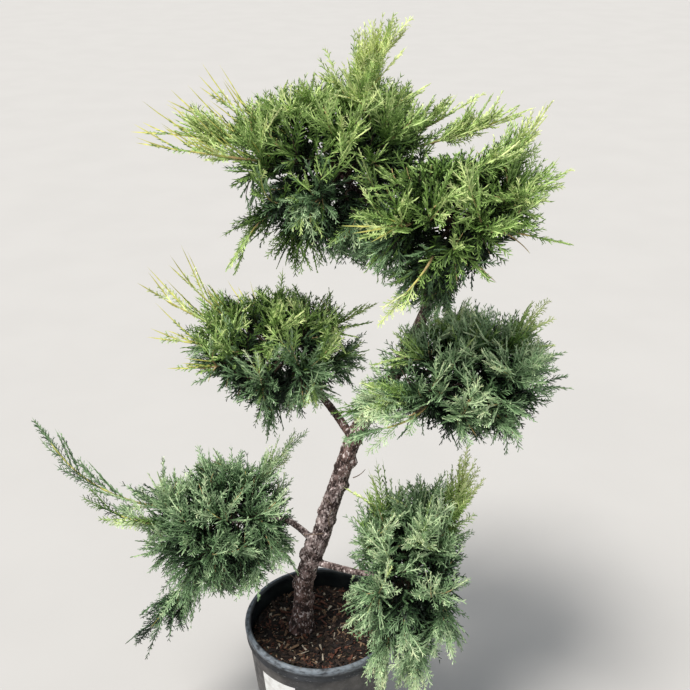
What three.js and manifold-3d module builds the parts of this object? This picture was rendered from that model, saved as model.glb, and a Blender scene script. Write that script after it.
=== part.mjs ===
// A pompom juniper in a nursery pot: a winding stem on a mulched root ball, with a bough to each of
// six loose balls of needle sprays. Millimetres, +Z up, seen from the front along +Y.
// The origin is the centre of the pot's flat underside.
import * as THREE from "three";
import { mergeVertices } from "three/addons/utils/BufferGeometryUtils.js";
import Module from "manifold-3d";

const wasm = await Module();
wasm.setup();

// Driving dimensions of the pot and its root ball
const CLEAR = 0.3; // gap between neighbouring solids
const POT = {
  height: 265,
  rimRadius: 142.5,
  rimWidth: 12,
  rimDepth: 30,
  rimStep: 6, // how far the rim band stands out from the wall
  lip: 3, // the rolled lip's round
  baseRadius: 112,
  baseRound: 5,
  wall: 3,
  turns: 28, // facets round the pot
};
const DRAIN = { count: 5, radius: 9, fromCentre: 86, sides: 6 };
const ROOT_BALL = {
  top: 235,
  flatRadius: 80, // level round the stem, then lumpy as far as the edge
  edgeDrop: 9, // how much lower the mulch lies at the wall
  edgeWidth: 12,
  lump: 2.5,
  inset: 0.6, // keeps the facets off the pot's wall
};

// The stem's line from the root ball to its fork, and its radius there
const STEM_LINE = [
  [-40, 3, 205],
  [-37, 2, 240],
  [-32, -3, 300],
  [-28, -14, 367],
  [-15, -20, 413],
  [0, -26, 460],
  [20, -30, 538],
  [42, -30, 612],
  [66, -24, 686],
  [105, -12, 742],
  [136, 0, 798],
  [170, 15, 872],
  [187, 20, 925],
];
const STEM = {
  baseRadius: 18.5,
  forkRadius: 8.5,
  flare: 9, // the root flare's extra radius at the mulch
  flareHeight: 24,
  flareLobes: 3,
  lobeDepth: 0.3,
  knobHalfHeight: 16,
  sides: 9,
  steps: 22,
};
const STEM_KNOBS = [
  { height: 452, swell: 0.2 },
  { height: 520, swell: 0.1 },
  { height: 612, swell: 0.14 },
  { height: 672, swell: 0.12 },
];

// Each bough leaves the stem's axis at its first point and ends where it enters its ball, whose own
// stem runs on from there
const BOUGH = { sides: 7, steps: 4, innerSteps: 3, innerLead: 30, innerTaper: 0.4 };
const BOUGHS = [
  {
    name: "bough_low_left",
    line: [[-3, -26, 450], [-24, -30, 486], [-52, -28, 505]],
    radii: [7.5, 5.5],
  },
  {
    name: "bough_low_right",
    line: [[-15, -20, 413], [22, -42, 416], [66, -62, 420]],
    radii: [7, 6],
  },
  {
    name: "bough_mid_left",
    line: [[61, -25, 669], [24, 14, 712], [-10, 46, 734]],
    radii: [8, 6],
  },
  {
    name: "bough_mid_right",
    line: [[81, -20, 709], [110, -34, 746], [142, -48, 772]],
    radii: [9, 7],
  },
  {
    name: "bough_upper_right",
    line: [[183, 19, 912], [198, -6, 964], [200, -44, 1014]],
    radii: [6.5, 5.5],
  },
  {
    name: "bough_top",
    line: [[179, 18, 898], [166, 36, 975], [104, 60, 1036]],
    radii: [7, 6],
  },
];

// Each ball of foliage: its middle, its reach each way, the number of shoots that fill it, and the
// tips of the long leaders that stand out of it
const BALLS = [
  {
    name: "foliage_top", seed: 11, bough: "bough_top", shoots: 31,
    middle: [30, 80, 1104], reach: [190, 168, 150],
    leaders: [
      [142, 80, 1336], [112, 50, 1290], [-284, 62, 1166], [-262, 10, 1160], [-232, 110, 1208],
      [-186, 150, 1222], [322, 60, 1218], [268, 112, 1222], [-112, 10, 950], [20, 290, 1190],
      [-120, 250, 1130], [170, 230, 1150],
    ],
  },
  {
    name: "foliage_upper_right", seed: 23, bough: "bough_upper_right", shoots: 24,
    middle: [202, -95, 1080], reach: [140, 122, 128],
    leaders: [
      [376, -70, 1128], [380, -88, 1034], [334, -60, 1240], [40, -160, 1072], [268, -110, 1240],
      [250, -236, 1110], [92, -150, 960],
    ],
  },
  {
    name: "foliage_mid_right", seed: 37, bough: "bough_mid_right", shoots: 24,
    middle: [236, -66, 802], reach: [148, 134, 104],
    leaders: [
      [356, -60, 954], [408, -70, 792], [398, -40, 846], [56, -116, 726], [80, -120, 800],
      [300, -220, 790], [214, 90, 850],
    ],
  },
  {
    name: "foliage_mid_left", seed: 41, bough: "bough_mid_left", shoots: 24,
    middle: [-76, 78, 784], reach: [154, 138, 116],
    leaders: [
      [-268, 70, 936], [-240, 110, 930], [-292, 60, 832], [-284, 40, 768], [104, 80, 880],
      [-60, 120, 950], [-150, 220, 850], [-36, 60, 600],
    ],
  },
  {
    name: "foliage_low_left", seed: 53, bough: "bough_low_left", shoots: 24,
    middle: [-168, -20, 490], reach: [138, 128, 124],
    leaders: [
      [-470, -20, 716], [-398, -30, 568], [-264, -50, 316], [-322, -40, 250], [-84, 30, 642],
      [-146, 124, 560], [-232, 60, 640], [-180, -176, 500],
    ],
  },
  {
    name: "foliage_low_right", seed: 67, bough: "bough_low_right", shoots: 26,
    middle: [158, -94, 446], reach: [114, 120, 196],
    leaders: [
      [248, -66, 660], [262, -70, 580], [90, -80, 640], [206, -150, 176], [284, -80, 480],
      [100, -160, 262], [44, -116, 336], [136, 46, 500],
    ],
  },
];

// The seeded rule for a shoot, shared by every ball
const GOLDEN_TURN = Math.PI * (3 - Math.sqrt(5));
const HEART = { share: 0.56, lump: 0.14 }; // the dense middle, as a share of the ball's reach
const SHOOT = {
  rooted: 0.42, // the share of the reach where a shoot starts, inside the heart
  bare: 0.17, // and how much of the reach it runs before its first needle
  shortest: 0.9,
  spread: 0.2, // lengths vary over this share of the reach
  jitter: 0.3,
  bend: 0.18, // shoots of the lower half arch over and hang, upper ones sweep up
};
const NEEDLE = {
  angle: THREE.MathUtils.degToRad(38),
  lastRoot: 0.92, // where the spray's last notch lies, as a share of its length
  spacing: 38, // between one pair of needles and the next
  fewest: 2,
  most: 5,
  longest: 60,
  share: 0.42, // longest needle as a share of its shoot
  fade: 0.55, // how much shorter the needles are at the tip
  lift: 0.7, // how far a needle leaves the spray's plane, as a share of its reach sideways
  liftWave: 13,
  twigHalf: 3, // half width of the twig at its foot
  tipHalf: 1.3,
  thickTwig: 2, // half thickness at the twig
  thickEdge: 0.8,
  slimOver: 20, // the needle thins to its edge over this distance from the twig
  tipThinning: 0.4,
};
// How far foliage keeps from limbs and pot. Between balls the margin is a share of their reach, and
// beyond strangerReach another ball's space no longer counts.
const KEEP_OFF = { limb: 7, pot: 5, neighbour: 0.07, strangerReach: 1.2 };
const BEADS = { stem: 60, bough: 10 }; // how many round beads stand for a limb in that test

const COLOUR = { pot: 0x2b2d30, mulch: 0x33241b, bark: 0x6b5347, needles: 0x4f7a3c };

const UP = new THREE.Vector3(0, 0, 1);
const vector = (list) => new THREE.Vector3(...list);

// A repeatable run of random numbers from 0 to 1
function chance(seed) {
  const modulus = 2147483647;
  let state = seed;
  const next = () => (state = (state * 16807) % modulus) / modulus;
  for (let i = 0; i < 3; i++) next();
  return next;
}

function solidOf(geometry) {
  const bare = geometry.index ? geometry.toNonIndexed() : geometry.clone();
  bare.deleteAttribute("normal");
  bare.deleteAttribute("uv");
  const merged = mergeVertices(bare, 1e-3);
  return new wasm.Manifold(
    new wasm.Mesh({
      numProp: 3,
      vertProperties: merged.getAttribute("position").array,
      triVerts: new Uint32Array(merged.index.array),
    }),
  );
}

function geometryOf(solid) {
  const mesh = solid.getMesh();
  const geometry = new THREE.BufferGeometry();
  geometry.setAttribute("position", new THREE.BufferAttribute(mesh.vertProperties, 3));
  geometry.setIndex(new THREE.BufferAttribute(mesh.triVerts, 1));
  geometry.computeVertexNormals();
  return geometry;
}

const largestOf = (solid) =>
  solid.decompose().reduce((best, piece) => (piece.volume() > best.volume() ? piece : best));

// A closed cylinder laid along a curve, with a radius that may change along it and round it
function limb(curve, radiusAt, sides, steps) {
  const geometry = new THREE.CylinderGeometry(1, 1, 1, sides, steps);
  const spots = geometry.getAttribute("position");
  const frames = curve.computeFrenetFrames(steps, false);
  for (let i = 0; i < spots.count; i++) {
    const along = spots.getY(i) + 0.5;
    const step = Math.round(along * steps);
    const across = Math.hypot(spots.getX(i), spots.getZ(i));
    const angle = Math.atan2(spots.getX(i), spots.getZ(i));
    const radius = across * radiusAt(along, angle);
    const spot = curve
      .getPointAt(along)
      .addScaledVector(frames.binormals[step], radius * Math.sin(angle))
      .addScaledVector(frames.normals[step], radius * Math.cos(angle));
    spots.setXYZ(i, spot.x, spot.y, spot.z);
  }
  return solidOf(geometry);
}

function lathe(profile, turns) {
  const points = profile.map(([r, z]) => new THREE.Vector2(r, z));
  return new THREE.LatheGeometry(points, turns).rotateX(Math.PI / 2);
}

// The pot: a tapered wall, a rim band with a rolled lip, and drain holes in its floor
const wallTop = POT.height - POT.rimDepth;
const wallOuterTop = POT.rimRadius - POT.rimStep;
const innerTop = POT.rimRadius - POT.rimWidth;
const wallInner = wallOuterTop - POT.wall - 1;

function makePot() {
  const { height, rimRadius, baseRadius, baseRound, wall, lip } = POT;
  const shell = solidOf(
    lathe(
      [
        [0, 0],
        [baseRadius, 0],
        [baseRadius + baseRound / 2, baseRound],
        [wallOuterTop, wallTop],
        [rimRadius - lip / 2, wallTop + lip],
        [rimRadius - lip / 3, height - 2 * lip],
        [rimRadius, height - lip],
        [rimRadius - lip, height],
        [innerTop + lip / 3, height],
        [innerTop, height - lip],
        [wallInner, wallTop],
        [baseRadius - wall, wall],
        [0, wall],
      ],
      POT.turns,
    ),
  );
  const bit = new THREE.CylinderGeometry(DRAIN.radius, DRAIN.radius, 4 * wall, DRAIN.sides);
  const drain = solidOf(bit.rotateX(Math.PI / 2));
  const holes = Array.from({ length: DRAIN.count }, (_, i) => {
    const turn = ((i + 0.5) / DRAIN.count) * 2 * Math.PI;
    const [x, y] = [DRAIN.fromCentre * Math.cos(turn), DRAIN.fromCentre * Math.sin(turn)];
    return drain.translate([x, y, 0]);
  });
  return shell.subtract(wasm.Manifold.union(holes));
}

// The root ball fills the pot to a little under its rim. Its top is flat round the stem and lumpy
// towards the wall.
function makeRootBall() {
  const { top, flatRadius, edgeDrop, edgeWidth, lump, inset } = ROOT_BALL;
  const share = (top - edgeDrop - POT.wall) / (wallTop - POT.wall);
  const foot = POT.baseRadius - POT.wall - inset;
  const edge = foot + (wallInner - inset - foot) * share;
  const geometry = lathe(
    [
      [0, POT.wall + CLEAR],
      [foot, POT.wall + CLEAR],
      [edge, top - edgeDrop],
      [edge - edgeWidth, top - edgeDrop / 2],
      [(edge + flatRadius) / 2, top],
      [flatRadius, top],
      [0, top],
    ],
    POT.turns,
  );
  const spots = geometry.getAttribute("position");
  for (let i = 0; i < spots.count; i++) {
    const [x, y, z] = [spots.getX(i), spots.getY(i), spots.getZ(i)];
    const outward = Math.hypot(x, y);
    const isLumpy = z > top - edgeDrop && outward > flatRadius + 1 && outward < edge - 1;
    if (isLumpy) spots.setZ(i, z + lump * Math.sin(x / 9) * Math.cos(y / 7));
  }
  return solidOf(geometry);
}

// The stem: it tapers from a lobed root flare, swells at its knobs, and is cut flat at the mulch
const stemCurve = new THREE.CatmullRomCurve3(STEM_LINE.map(vector));

function stemRadius(along, angle) {
  const height = stemCurve.getPointAt(along).z;
  const rise = Math.max(0, height - ROOT_BALL.top);
  const lobes = 1 + STEM.lobeDepth * Math.cos(STEM.flareLobes * angle);
  const swells = STEM_KNOBS.map((knob) => {
    const off = (height - knob.height) / STEM.knobHalfHeight;
    return knob.swell * Math.exp(-off * off) * (1 + Math.sin(angle));
  });
  const taper = STEM.baseRadius + (STEM.forkRadius - STEM.baseRadius) * along ** 2;
  const flare = STEM.flare * lobes * Math.exp(-rise / STEM.flareHeight);
  return taper * swells.reduce((sum, swell) => sum + swell, 1) + flare;
}

function makeStem(extra = 0) {
  const radiusAt = (along, angle) => stemRadius(along, angle) + extra;
  const ground = new THREE.BoxGeometry(2 * POT.rimRadius, 2 * POT.rimRadius, ROOT_BALL.top);
  const below = solidOf(ground).translate([0, 0, ROOT_BALL.top / 2 + CLEAR]);
  return limb(stemCurve, radiusAt, STEM.sides, STEM.steps).subtract(below);
}

const boughCurve = (bough) => new THREE.QuadraticBezierCurve3(...bough.line.map(vector));

const boughRadius = ({ radii: [foot, tip] }, along) => foot + (tip - foot) * along;

function makeBough(bough, extra = 0) {
  const radiusAt = (along) => boughRadius(bough, along) + extra;
  return limb(boughCurve(bough), radiusAt, BOUGH.sides, BOUGH.steps);
}

// Round beads along every limb and their sizes, to test whether a twig comes too near
function beadsOf(curve, radiusAt, count) {
  return Array.from({ length: count + 1 }, (_, i) => ({
    spot: curve.getPointAt(i / count),
    radius: radiusAt(i / count),
  }));
}
const beads = [
  ...beadsOf(stemCurve, (along) => stemRadius(along, Math.PI / 2), BEADS.stem),
  ...BOUGHS.flatMap((bough) =>
    beadsOf(boughCurve(bough), (along) => boughRadius(bough, along), BEADS.bough),
  ),
];

// How far out a spot is in a ball, where 1 is the ball's own outline
function outness(spot, ball) {
  const [x, y, z] = ball.middle;
  const [a, b, c] = ball.reach;
  return Math.hypot((spot.x - x) / a, (spot.y - y) / b, (spot.z - z) / c);
}

// Whether a spot is clear of limbs and pot, and in its own ball's space
function isFree(spot, ball) {
  if (beads.some((bead) => spot.distanceTo(bead.spot) < bead.radius + KEEP_OFF.limb)) return false;
  const overPot = Math.hypot(spot.x, spot.y) < POT.rimRadius + KEEP_OFF.pot;
  if (spot.z < KEEP_OFF.pot || (overPot && spot.z < POT.height + KEEP_OFF.pot)) return false;
  const own = outness(spot, ball);
  return BALLS.every((other) => {
    const away = other === ball ? Infinity : outness(spot, other);
    return away > KEEP_OFF.strangerReach || own + KEEP_OFF.neighbour < away;
  });
}

// A shoot's curve: it starts in the heart, and bends up in the ball's upper half or down below
function shootCurve(ball, tip) {
  const middle = vector(ball.middle);
  const start = middle.clone().lerp(tip, SHOOT.rooted / outness(tip, ball));
  const chord = tip.clone().sub(start);
  const sag = (-SHOOT.bend * chord.z) / chord.length();
  const control = start.clone().lerp(tip, 0.5).addScaledVector(UP, sag * chord.length());
  return new THREE.QuadraticBezierCurve3(start, control, tip);
}

// The tip of a ball's shoot number k: a golden spiral spreads the shoots evenly over the ball
function shootTip(ball, k, next) {
  const height = 1 - (2 * k + 1) / ball.shoots + SHOOT.jitter * (next() - 0.5);
  const level = THREE.MathUtils.clamp(height, -1, 1);
  const turn = k * GOLDEN_TURN + SHOOT.jitter * (next() - 0.5);
  const around = Math.sqrt(1 - level * level);
  const share = SHOOT.shortest + SHOOT.spread * next();
  return vector([around * Math.cos(turn), around * Math.sin(turn), level])
    .multiply(vector(ball.reach))
    .multiplyScalar(share)
    .add(vector(ball.middle));
}

// The outline of a spray laid flat, as distances along its twig and to the side: the twig's sides
// run out into pairs of needles that lean forward
function sprayOutline(length, firstNotch) {
  const lastNotch = NEEDLE.lastRoot * length;
  const wanted = Math.round((lastNotch - firstNotch) / NEEDLE.spacing);
  const pairs = THREE.MathUtils.clamp(wanted, NEEDLE.fewest, NEEDLE.most);
  const longest = Math.min(NEEDLE.longest, NEEDLE.share * length);
  const half = (s) => THREE.MathUtils.lerp(NEEDLE.twigHalf, NEEDLE.tipHalf, s / length);
  const side = [[0, half(0)]];
  for (let i = 0; i < pairs; i++) {
    const root = THREE.MathUtils.lerp(firstNotch, lastNotch, i / pairs);
    const needle = longest * (1 - (NEEDLE.fade * i) / (pairs - 1));
    side.push([root, half(root)]);
    side.push([root + needle * Math.cos(NEEDLE.angle), needle * Math.sin(NEEDLE.angle)]);
  }
  side.push([lastNotch, half(lastNotch)]);
  const otherSide = side.map(([s, w]) => [s, -w]).reverse();
  return [...otherSide, ...side, [length, 0]];
}

// A spray of needles on a shoot's curve, turned by roll about it. Its needles rise and dip by turns
// out of its plane. Null where it would leave its ball's space or touch a limb.
function makeSpray(ball, curve, roll) {
  const length = curve.getLength();
  const reach = outness(curve.v2, ball) - SHOOT.rooted;
  const outline = sprayOutline(length, (length * SHOOT.bare) / reach);

  const chord = curve.v2.clone().sub(curve.v0).normalize();
  const level = Math.abs(chord.z) < 0.9 ? UP : new THREE.Vector3(1, 0, 0);
  const aside = chord.clone().cross(level).normalize().applyAxisAngle(chord, roll);
  const place = (s, w, rise) => {
    const along = Math.min(1, s / length);
    const tangent = curve.getTangent(along);
    const sideways = aside.clone().addScaledVector(tangent, -aside.dot(tangent)).normalize();
    const facing = tangent.clone().cross(sideways);
    const lift = NEEDLE.lift * Math.max(0, Math.abs(w) - NEEDLE.twigHalf);
    const wave = Math.sin(s / NEEDLE.liftWave + (w > 0 ? 2 : 0));
    return curve
      .getPoint(along)
      .addScaledVector(tangent, Math.max(0, s - length))
      .addScaledVector(sideways, w)
      .addScaledVector(facing, lift * wave + rise);
  };
  const tests = outline.flatMap(([s, w]) => [place(s, w, 0), place(s, w / 2, 0)]);
  if (!tests.every((spot) => outness(spot, ball) < HEART.share || isFree(spot, ball))) return null;

  const shape = new THREE.Shape(outline.map(([s, w]) => new THREE.Vector2(s, w)));
  const geometry = new THREE.ExtrudeGeometry(shape, { depth: 2, bevelEnabled: false });
  const spots = geometry.getAttribute("position");
  for (let i = 0; i < spots.count; i++) {
    const [s, w, face] = [spots.getX(i), spots.getY(i), spots.getZ(i) - 1];
    const slim = THREE.MathUtils.clamp((Math.abs(w) - NEEDLE.twigHalf) / NEEDLE.slimOver, 0, 1);
    const thick = THREE.MathUtils.lerp(NEEDLE.thickTwig, NEEDLE.thickEdge, slim);
    const spot = place(s, w, face * thick * (1 - (NEEDLE.tipThinning * s) / length));
    spots.setXYZ(i, spot.x, spot.y, spot.z);
  }
  return solidOf(geometry);
}

// The heart: a small lumpy ball of twigs too dense to see into
function makeHeart(ball) {
  const geometry = new THREE.IcosahedronGeometry(1, 1);
  const spots = geometry.getAttribute("position");
  for (let i = 0; i < spots.count; i++) {
    const spot = new THREE.Vector3().fromBufferAttribute(spots, i);
    const wave = Math.sin(5 * spot.x + ball.seed) * Math.cos(4 * spot.y + 3 * spot.z);
    const share = HEART.share * (1 + HEART.lump * wave);
    spot.multiply(vector(ball.reach)).multiplyScalar(share).add(vector(ball.middle));
    spots.setXYZ(i, spot.x, spot.y, spot.z);
  }
  return solidOf(geometry);
}

// A ball's own stem runs on from its bough's tip to its middle
function makeInnerStem(ball) {
  const bough = BOUGHS.find(({ name }) => name === ball.bough);
  const curve = boughCurve(bough);
  const heading = curve.getTangent(1);
  const start = curve.getPoint(1).addScaledVector(heading, CLEAR);
  const control = start.clone().addScaledVector(heading, BOUGH.innerLead);
  const inner = new THREE.QuadraticBezierCurve3(start, control, vector(ball.middle));
  const radiusAt = (along) => boughRadius(bough, 1) * (1 - BOUGH.innerTaper * along);
  return limb(inner, radiusAt, BOUGH.sides, BOUGH.innerSteps);
}

function makeBall(ball, limbsCut) {
  const leaders = ball.leaders.map((tip, i) => ({ tip: vector(tip), roll: i }));
  const fillers = Array.from({ length: ball.shoots }, (_, k) => {
    const next = chance(ball.seed * 1000 + k);
    return { tip: shootTip(ball, k, next), roll: next() * Math.PI };
  });
  const sprays = [...leaders, ...fillers]
    .map(({ tip, roll }) => makeSpray(ball, shootCurve(ball, tip), roll))
    .filter((spray) => spray !== null);
  const heart = makeHeart(ball).subtract(limbsCut);
  return largestOf(wasm.Manifold.union([heart, makeInnerStem(ball), ...sprays]));
}

// The finished plant, each piece its own mesh
const plant = new THREE.Group();

function add(name, solid, colour, roughness) {
  const material = new THREE.MeshStandardMaterial({
    color: colour,
    roughness,
    metalness: 0,
    flatShading: true,
  });
  const mesh = new THREE.Mesh(geometryOf(solid), material);
  mesh.name = name;
  plant.add(mesh);
}

add("pot", makePot(), COLOUR.pot, 0.55);
add("root_ball", makeRootBall(), COLOUR.mulch, 1);
add("stem", makeStem(), COLOUR.bark, 0.95);

// Each bough is cut clear of the stem and of the boughs before it
let limbsCut = makeStem(CLEAR);
for (const bough of BOUGHS) {
  add(bough.name, largestOf(makeBough(bough).subtract(limbsCut)), COLOUR.bark, 0.95);
  limbsCut = limbsCut.add(makeBough(bough, CLEAR));
}
for (const ball of BALLS) add(ball.name, makeBall(ball, limbsCut), COLOUR.needles, 0.85);

export default plant;
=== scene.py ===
# A pompom juniper in a nursery pot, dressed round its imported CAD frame. Its balls of foliage grow by
# the part source's seeded rule, carried on to finer shoots, sprays and needles. The plant's own lists
# are in millimetres, as in that source, and every mesh is in metres.
import math

import bmesh
import bpy
import numpy as np
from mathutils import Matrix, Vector, noise


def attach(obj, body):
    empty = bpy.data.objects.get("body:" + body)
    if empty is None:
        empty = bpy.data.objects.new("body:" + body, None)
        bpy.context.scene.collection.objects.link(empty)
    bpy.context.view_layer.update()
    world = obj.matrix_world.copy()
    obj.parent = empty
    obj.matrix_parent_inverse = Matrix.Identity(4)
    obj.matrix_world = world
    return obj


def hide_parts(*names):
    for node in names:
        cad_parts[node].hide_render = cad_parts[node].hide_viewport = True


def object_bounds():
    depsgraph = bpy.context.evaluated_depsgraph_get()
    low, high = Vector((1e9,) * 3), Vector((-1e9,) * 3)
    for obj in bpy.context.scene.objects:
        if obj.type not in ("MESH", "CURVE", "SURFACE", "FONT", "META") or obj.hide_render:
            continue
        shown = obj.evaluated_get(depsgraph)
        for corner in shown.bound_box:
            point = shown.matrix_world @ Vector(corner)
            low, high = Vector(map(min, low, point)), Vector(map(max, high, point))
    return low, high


MM = 0.001

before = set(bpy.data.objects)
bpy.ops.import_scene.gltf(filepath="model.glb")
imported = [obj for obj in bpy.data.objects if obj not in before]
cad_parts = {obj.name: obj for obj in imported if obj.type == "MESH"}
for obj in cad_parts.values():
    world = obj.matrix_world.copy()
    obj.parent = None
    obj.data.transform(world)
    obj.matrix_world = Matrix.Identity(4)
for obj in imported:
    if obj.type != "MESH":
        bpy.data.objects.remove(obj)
cad_low, cad_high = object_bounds()


# The pot is one thin moulding in black polythene: a tapered wall, a hollow band under a rolled lip,
# and five drain holes in a flat floor. It stands loose on the ground. Its lip carries a painted
# highlight in patches of pale bluish grey, and splashed soil has dried brown on the wall.
POT_OUTSIDE = (
    (0, 0), (106, 0), (110.6, 0.8), (113.2, 3), (114.5, 6.5), (118.3, 46), (122.1, 86), (125.9, 126),
    (129.7, 166), (133.4, 205), (136.0, 232), (136.9, 234.6), (139.2, 236.0), (140.6, 237.8),
    (140.9, 240.4), (140.2, 243.2), (139.4, 246), (139.2, 249), (139.8, 251.4), (141.3, 253.2),
    (142.2, 255.8), (142.5, 258.6), (142.1, 261.2), (140.9, 263.4), (139.0, 264.7), (137.0, 265),
)
POT_INSIDE = (
    (134.6, 264.6), (132.7, 263.4), (131.4, 261.4), (130.9, 258.6), (131.3, 248), (132.5, 235),
    (128.9, 200), (120.9, 120), (112.9, 40), (109.6, 7), (108.2, 4), (105, 3), (0, 3),
)
POT_TURNS = 112
POT_RADIUS = max(radius for radius, _ in POT_OUTSIDE)
POT_TOP = POT_OUTSIDE[-1][1]
POT_FLOOR = POT_INSIDE[-1][1]
# The inner wall's radius at the floor and at its top, and the height between them
INNER_FOOT_RADIUS = 110.5
INNER_RIM_RADIUS = 134.5
INNER_HEIGHT = 255
SHARP_OVER = math.radians(40)
DRAIN_COUNT = 5
DRAIN_RADIUS = 9
DRAIN_SIDES = 24
DRAIN_FROM_CENTRE = 86
DRAIN_BIT_LENGTH = 20


def srgb(red, green, blue):
    """A colour as a screen shows it, 0 to 255 each, made linear."""
    shares = [value / 255 for value in (red, green, blue)]
    linear = [s / 12.92 if s <= 0.04045 else ((s + 0.055) / 1.055) ** 2.4 for s in shares]
    return (*linear, 1.0)


def cloud_group():
    """A node group that puts out the mask of a cloudy pattern."""
    group = bpy.data.node_groups.new("cloud_mask", "ShaderNodeTree")
    group.interface.new_socket("Vector", in_out="INPUT", socket_type="NodeSocketVector")
    for name in ("Scale", "Detail", "Low", "High"):
        group.interface.new_socket(name, in_out="INPUT", socket_type="NodeSocketFloat")
    group.interface.new_socket("Mask", in_out="OUTPUT", socket_type="NodeSocketFloat")
    entry = group.nodes.new("NodeGroupInput")
    leave = group.nodes.new("NodeGroupOutput")
    cloud = group.nodes.new("ShaderNodeTexNoise")
    spread = group.nodes.new("ShaderNodeMapRange")
    spread.interpolation_type = "SMOOTHSTEP"
    join = group.links.new
    join(entry.outputs["Vector"], cloud.inputs["Vector"])
    join(entry.outputs["Scale"], cloud.inputs["Scale"])
    join(entry.outputs["Detail"], cloud.inputs["Detail"])
    join(cloud.outputs["Fac"], spread.inputs["Value"])
    join(entry.outputs["Low"], spread.inputs["From Min"])
    join(entry.outputs["High"], spread.inputs["From Max"])
    join(spread.outputs["Result"], leave.inputs["Mask"])
    return group


CLOUD = cloud_group()


class Finish:
    """A Principled material under construction, with the few nodes that the finishes are made of."""

    def __init__(self, name, roughness, specular=0.5):
        self.material = bpy.data.materials.new(name)
        self.material.use_nodes = True
        self.tree = self.material.node_tree
        self.shader = self.tree.nodes["Principled BSDF"]
        self.shader.inputs["Roughness"].default_value = roughness
        self.shader.inputs["Specular IOR Level"].default_value = specular

    def place(self, stretch=(1, 1, 1)):
        """Where a point lies in its object, in metres."""
        spot = self.tree.nodes.new("ShaderNodeTexCoord")
        turn = self.tree.nodes.new("ShaderNodeMapping")
        turn.inputs["Scale"].default_value = stretch
        self.tree.links.new(spot.outputs["Object"], turn.inputs["Vector"])
        return turn.outputs["Vector"]

    def height(self):
        node = self.tree.nodes.new("ShaderNodeSeparateXYZ")
        self.tree.links.new(self.place(), node.inputs["Vector"])
        return node.outputs["Z"]

    def cloud(self, scale, low, high, detail=4.0, stretch=(1, 1, 1)):
        """A cloudy mask that rises from 0 to 1 between two levels of a noise."""
        node = self.tree.nodes.new("ShaderNodeGroup")
        node.node_tree = CLOUD
        self.tree.links.new(self.place(stretch), node.inputs["Vector"])
        for name, value in (("Scale", scale), ("Detail", detail), ("Low", low), ("High", high)):
            node.inputs[name].default_value = value
        return node.outputs["Mask"]

    def attribute(self, name):
        node = self.tree.nodes.new("ShaderNodeAttribute")
        node.attribute_name = name
        return node.outputs["Fac"]

    def between(self, value, low, high, to_low=0.0, to_high=1.0):
        """The value brought smoothly from one range into another."""
        node = self.tree.nodes.new("ShaderNodeMapRange")
        node.interpolation_type = "SMOOTHSTEP"
        self.tree.links.new(value, node.inputs["Value"])
        ends = {"From Min": low, "From Max": high, "To Min": to_low, "To Max": to_high}
        for name, number in ends.items():
            node.inputs[name].default_value = number
        return node.outputs["Result"]

    def times(self, first, second):
        node = self.tree.nodes.new("ShaderNodeMath")
        node.operation = "MULTIPLY"
        self.tree.links.new(first, node.inputs[0])
        self.tree.links.new(second, node.inputs[1])
        return node.outputs[0]

    def mix(self, mask, first, second):
        """The first colour where the mask is 0 and the second where it is 1."""
        node = self.tree.nodes.new("ShaderNodeMix")
        node.data_type = "RGBA"
        self.tree.links.new(mask, node.inputs[0])
        for socket, colour in ((node.inputs[6], first), (node.inputs[7], second)):
            if isinstance(colour, tuple):
                socket.default_value = colour
            else:
                self.tree.links.new(colour, socket)
        return node.outputs[2]

    def colour(self, value):
        self.tree.links.new(value, self.shader.inputs["Base Color"])

    def roughness(self, value):
        self.tree.links.new(value, self.shader.inputs["Roughness"])

    def bump(self, height, strength, distance):
        node = self.tree.nodes.new("ShaderNodeBump")
        node.inputs["Strength"].default_value = strength
        node.inputs["Distance"].default_value = distance
        self.tree.links.new(height, node.inputs["Height"])
        self.tree.links.new(node.outputs["Normal"], self.shader.inputs["Normal"])


def finished(name, form):
    """The mesh of a bmesh, which is freed."""
    mesh = bpy.data.meshes.new(name)
    form.to_mesh(mesh)
    form.free()
    return mesh


def placed(name, data):
    """A new object at the origin, linked to the scene."""
    thing = bpy.data.objects.new(name, data)
    bpy.context.scene.collection.objects.link(thing)
    return thing


def spun(name, profile, turns):
    """A closed mesh from a profile of radii and heights in millimetres, spun about the pot's axis."""
    form = bmesh.new()
    corners = [form.verts.new((radius * MM, 0, height * MM)) for radius, height in profile]
    edges = [form.edges.new(pair) for pair in zip(corners, corners[1:])]
    bmesh.ops.spin(
        form,
        geom=corners + edges,
        cent=(0, 0, 0),
        axis=(0, 0, 1),
        angle=2 * math.pi,
        steps=turns,
        use_merge=True,
    )
    bmesh.ops.remove_doubles(form, verts=form.verts, dist=1e-6)
    bmesh.ops.recalc_face_normals(form, faces=form.faces)
    return finished(name, form)


def show(name, mesh, *materials):
    """A piece at the origin that rides on the plant's only body."""
    piece = placed(name, mesh)
    for material in materials:
        mesh.materials.append(material)
    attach(piece, "root")
    return piece


def settle(piece):
    """The piece's mesh with its modifiers applied."""
    bpy.context.view_layer.update()
    seen = piece.evaluated_get(bpy.context.evaluated_depsgraph_get())
    mesh = bpy.data.meshes.new_from_object(seen)
    piece.modifiers.clear()
    old = piece.data
    piece.data = mesh
    mesh.name = piece.name
    bpy.data.meshes.remove(old)
    return mesh


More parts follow.
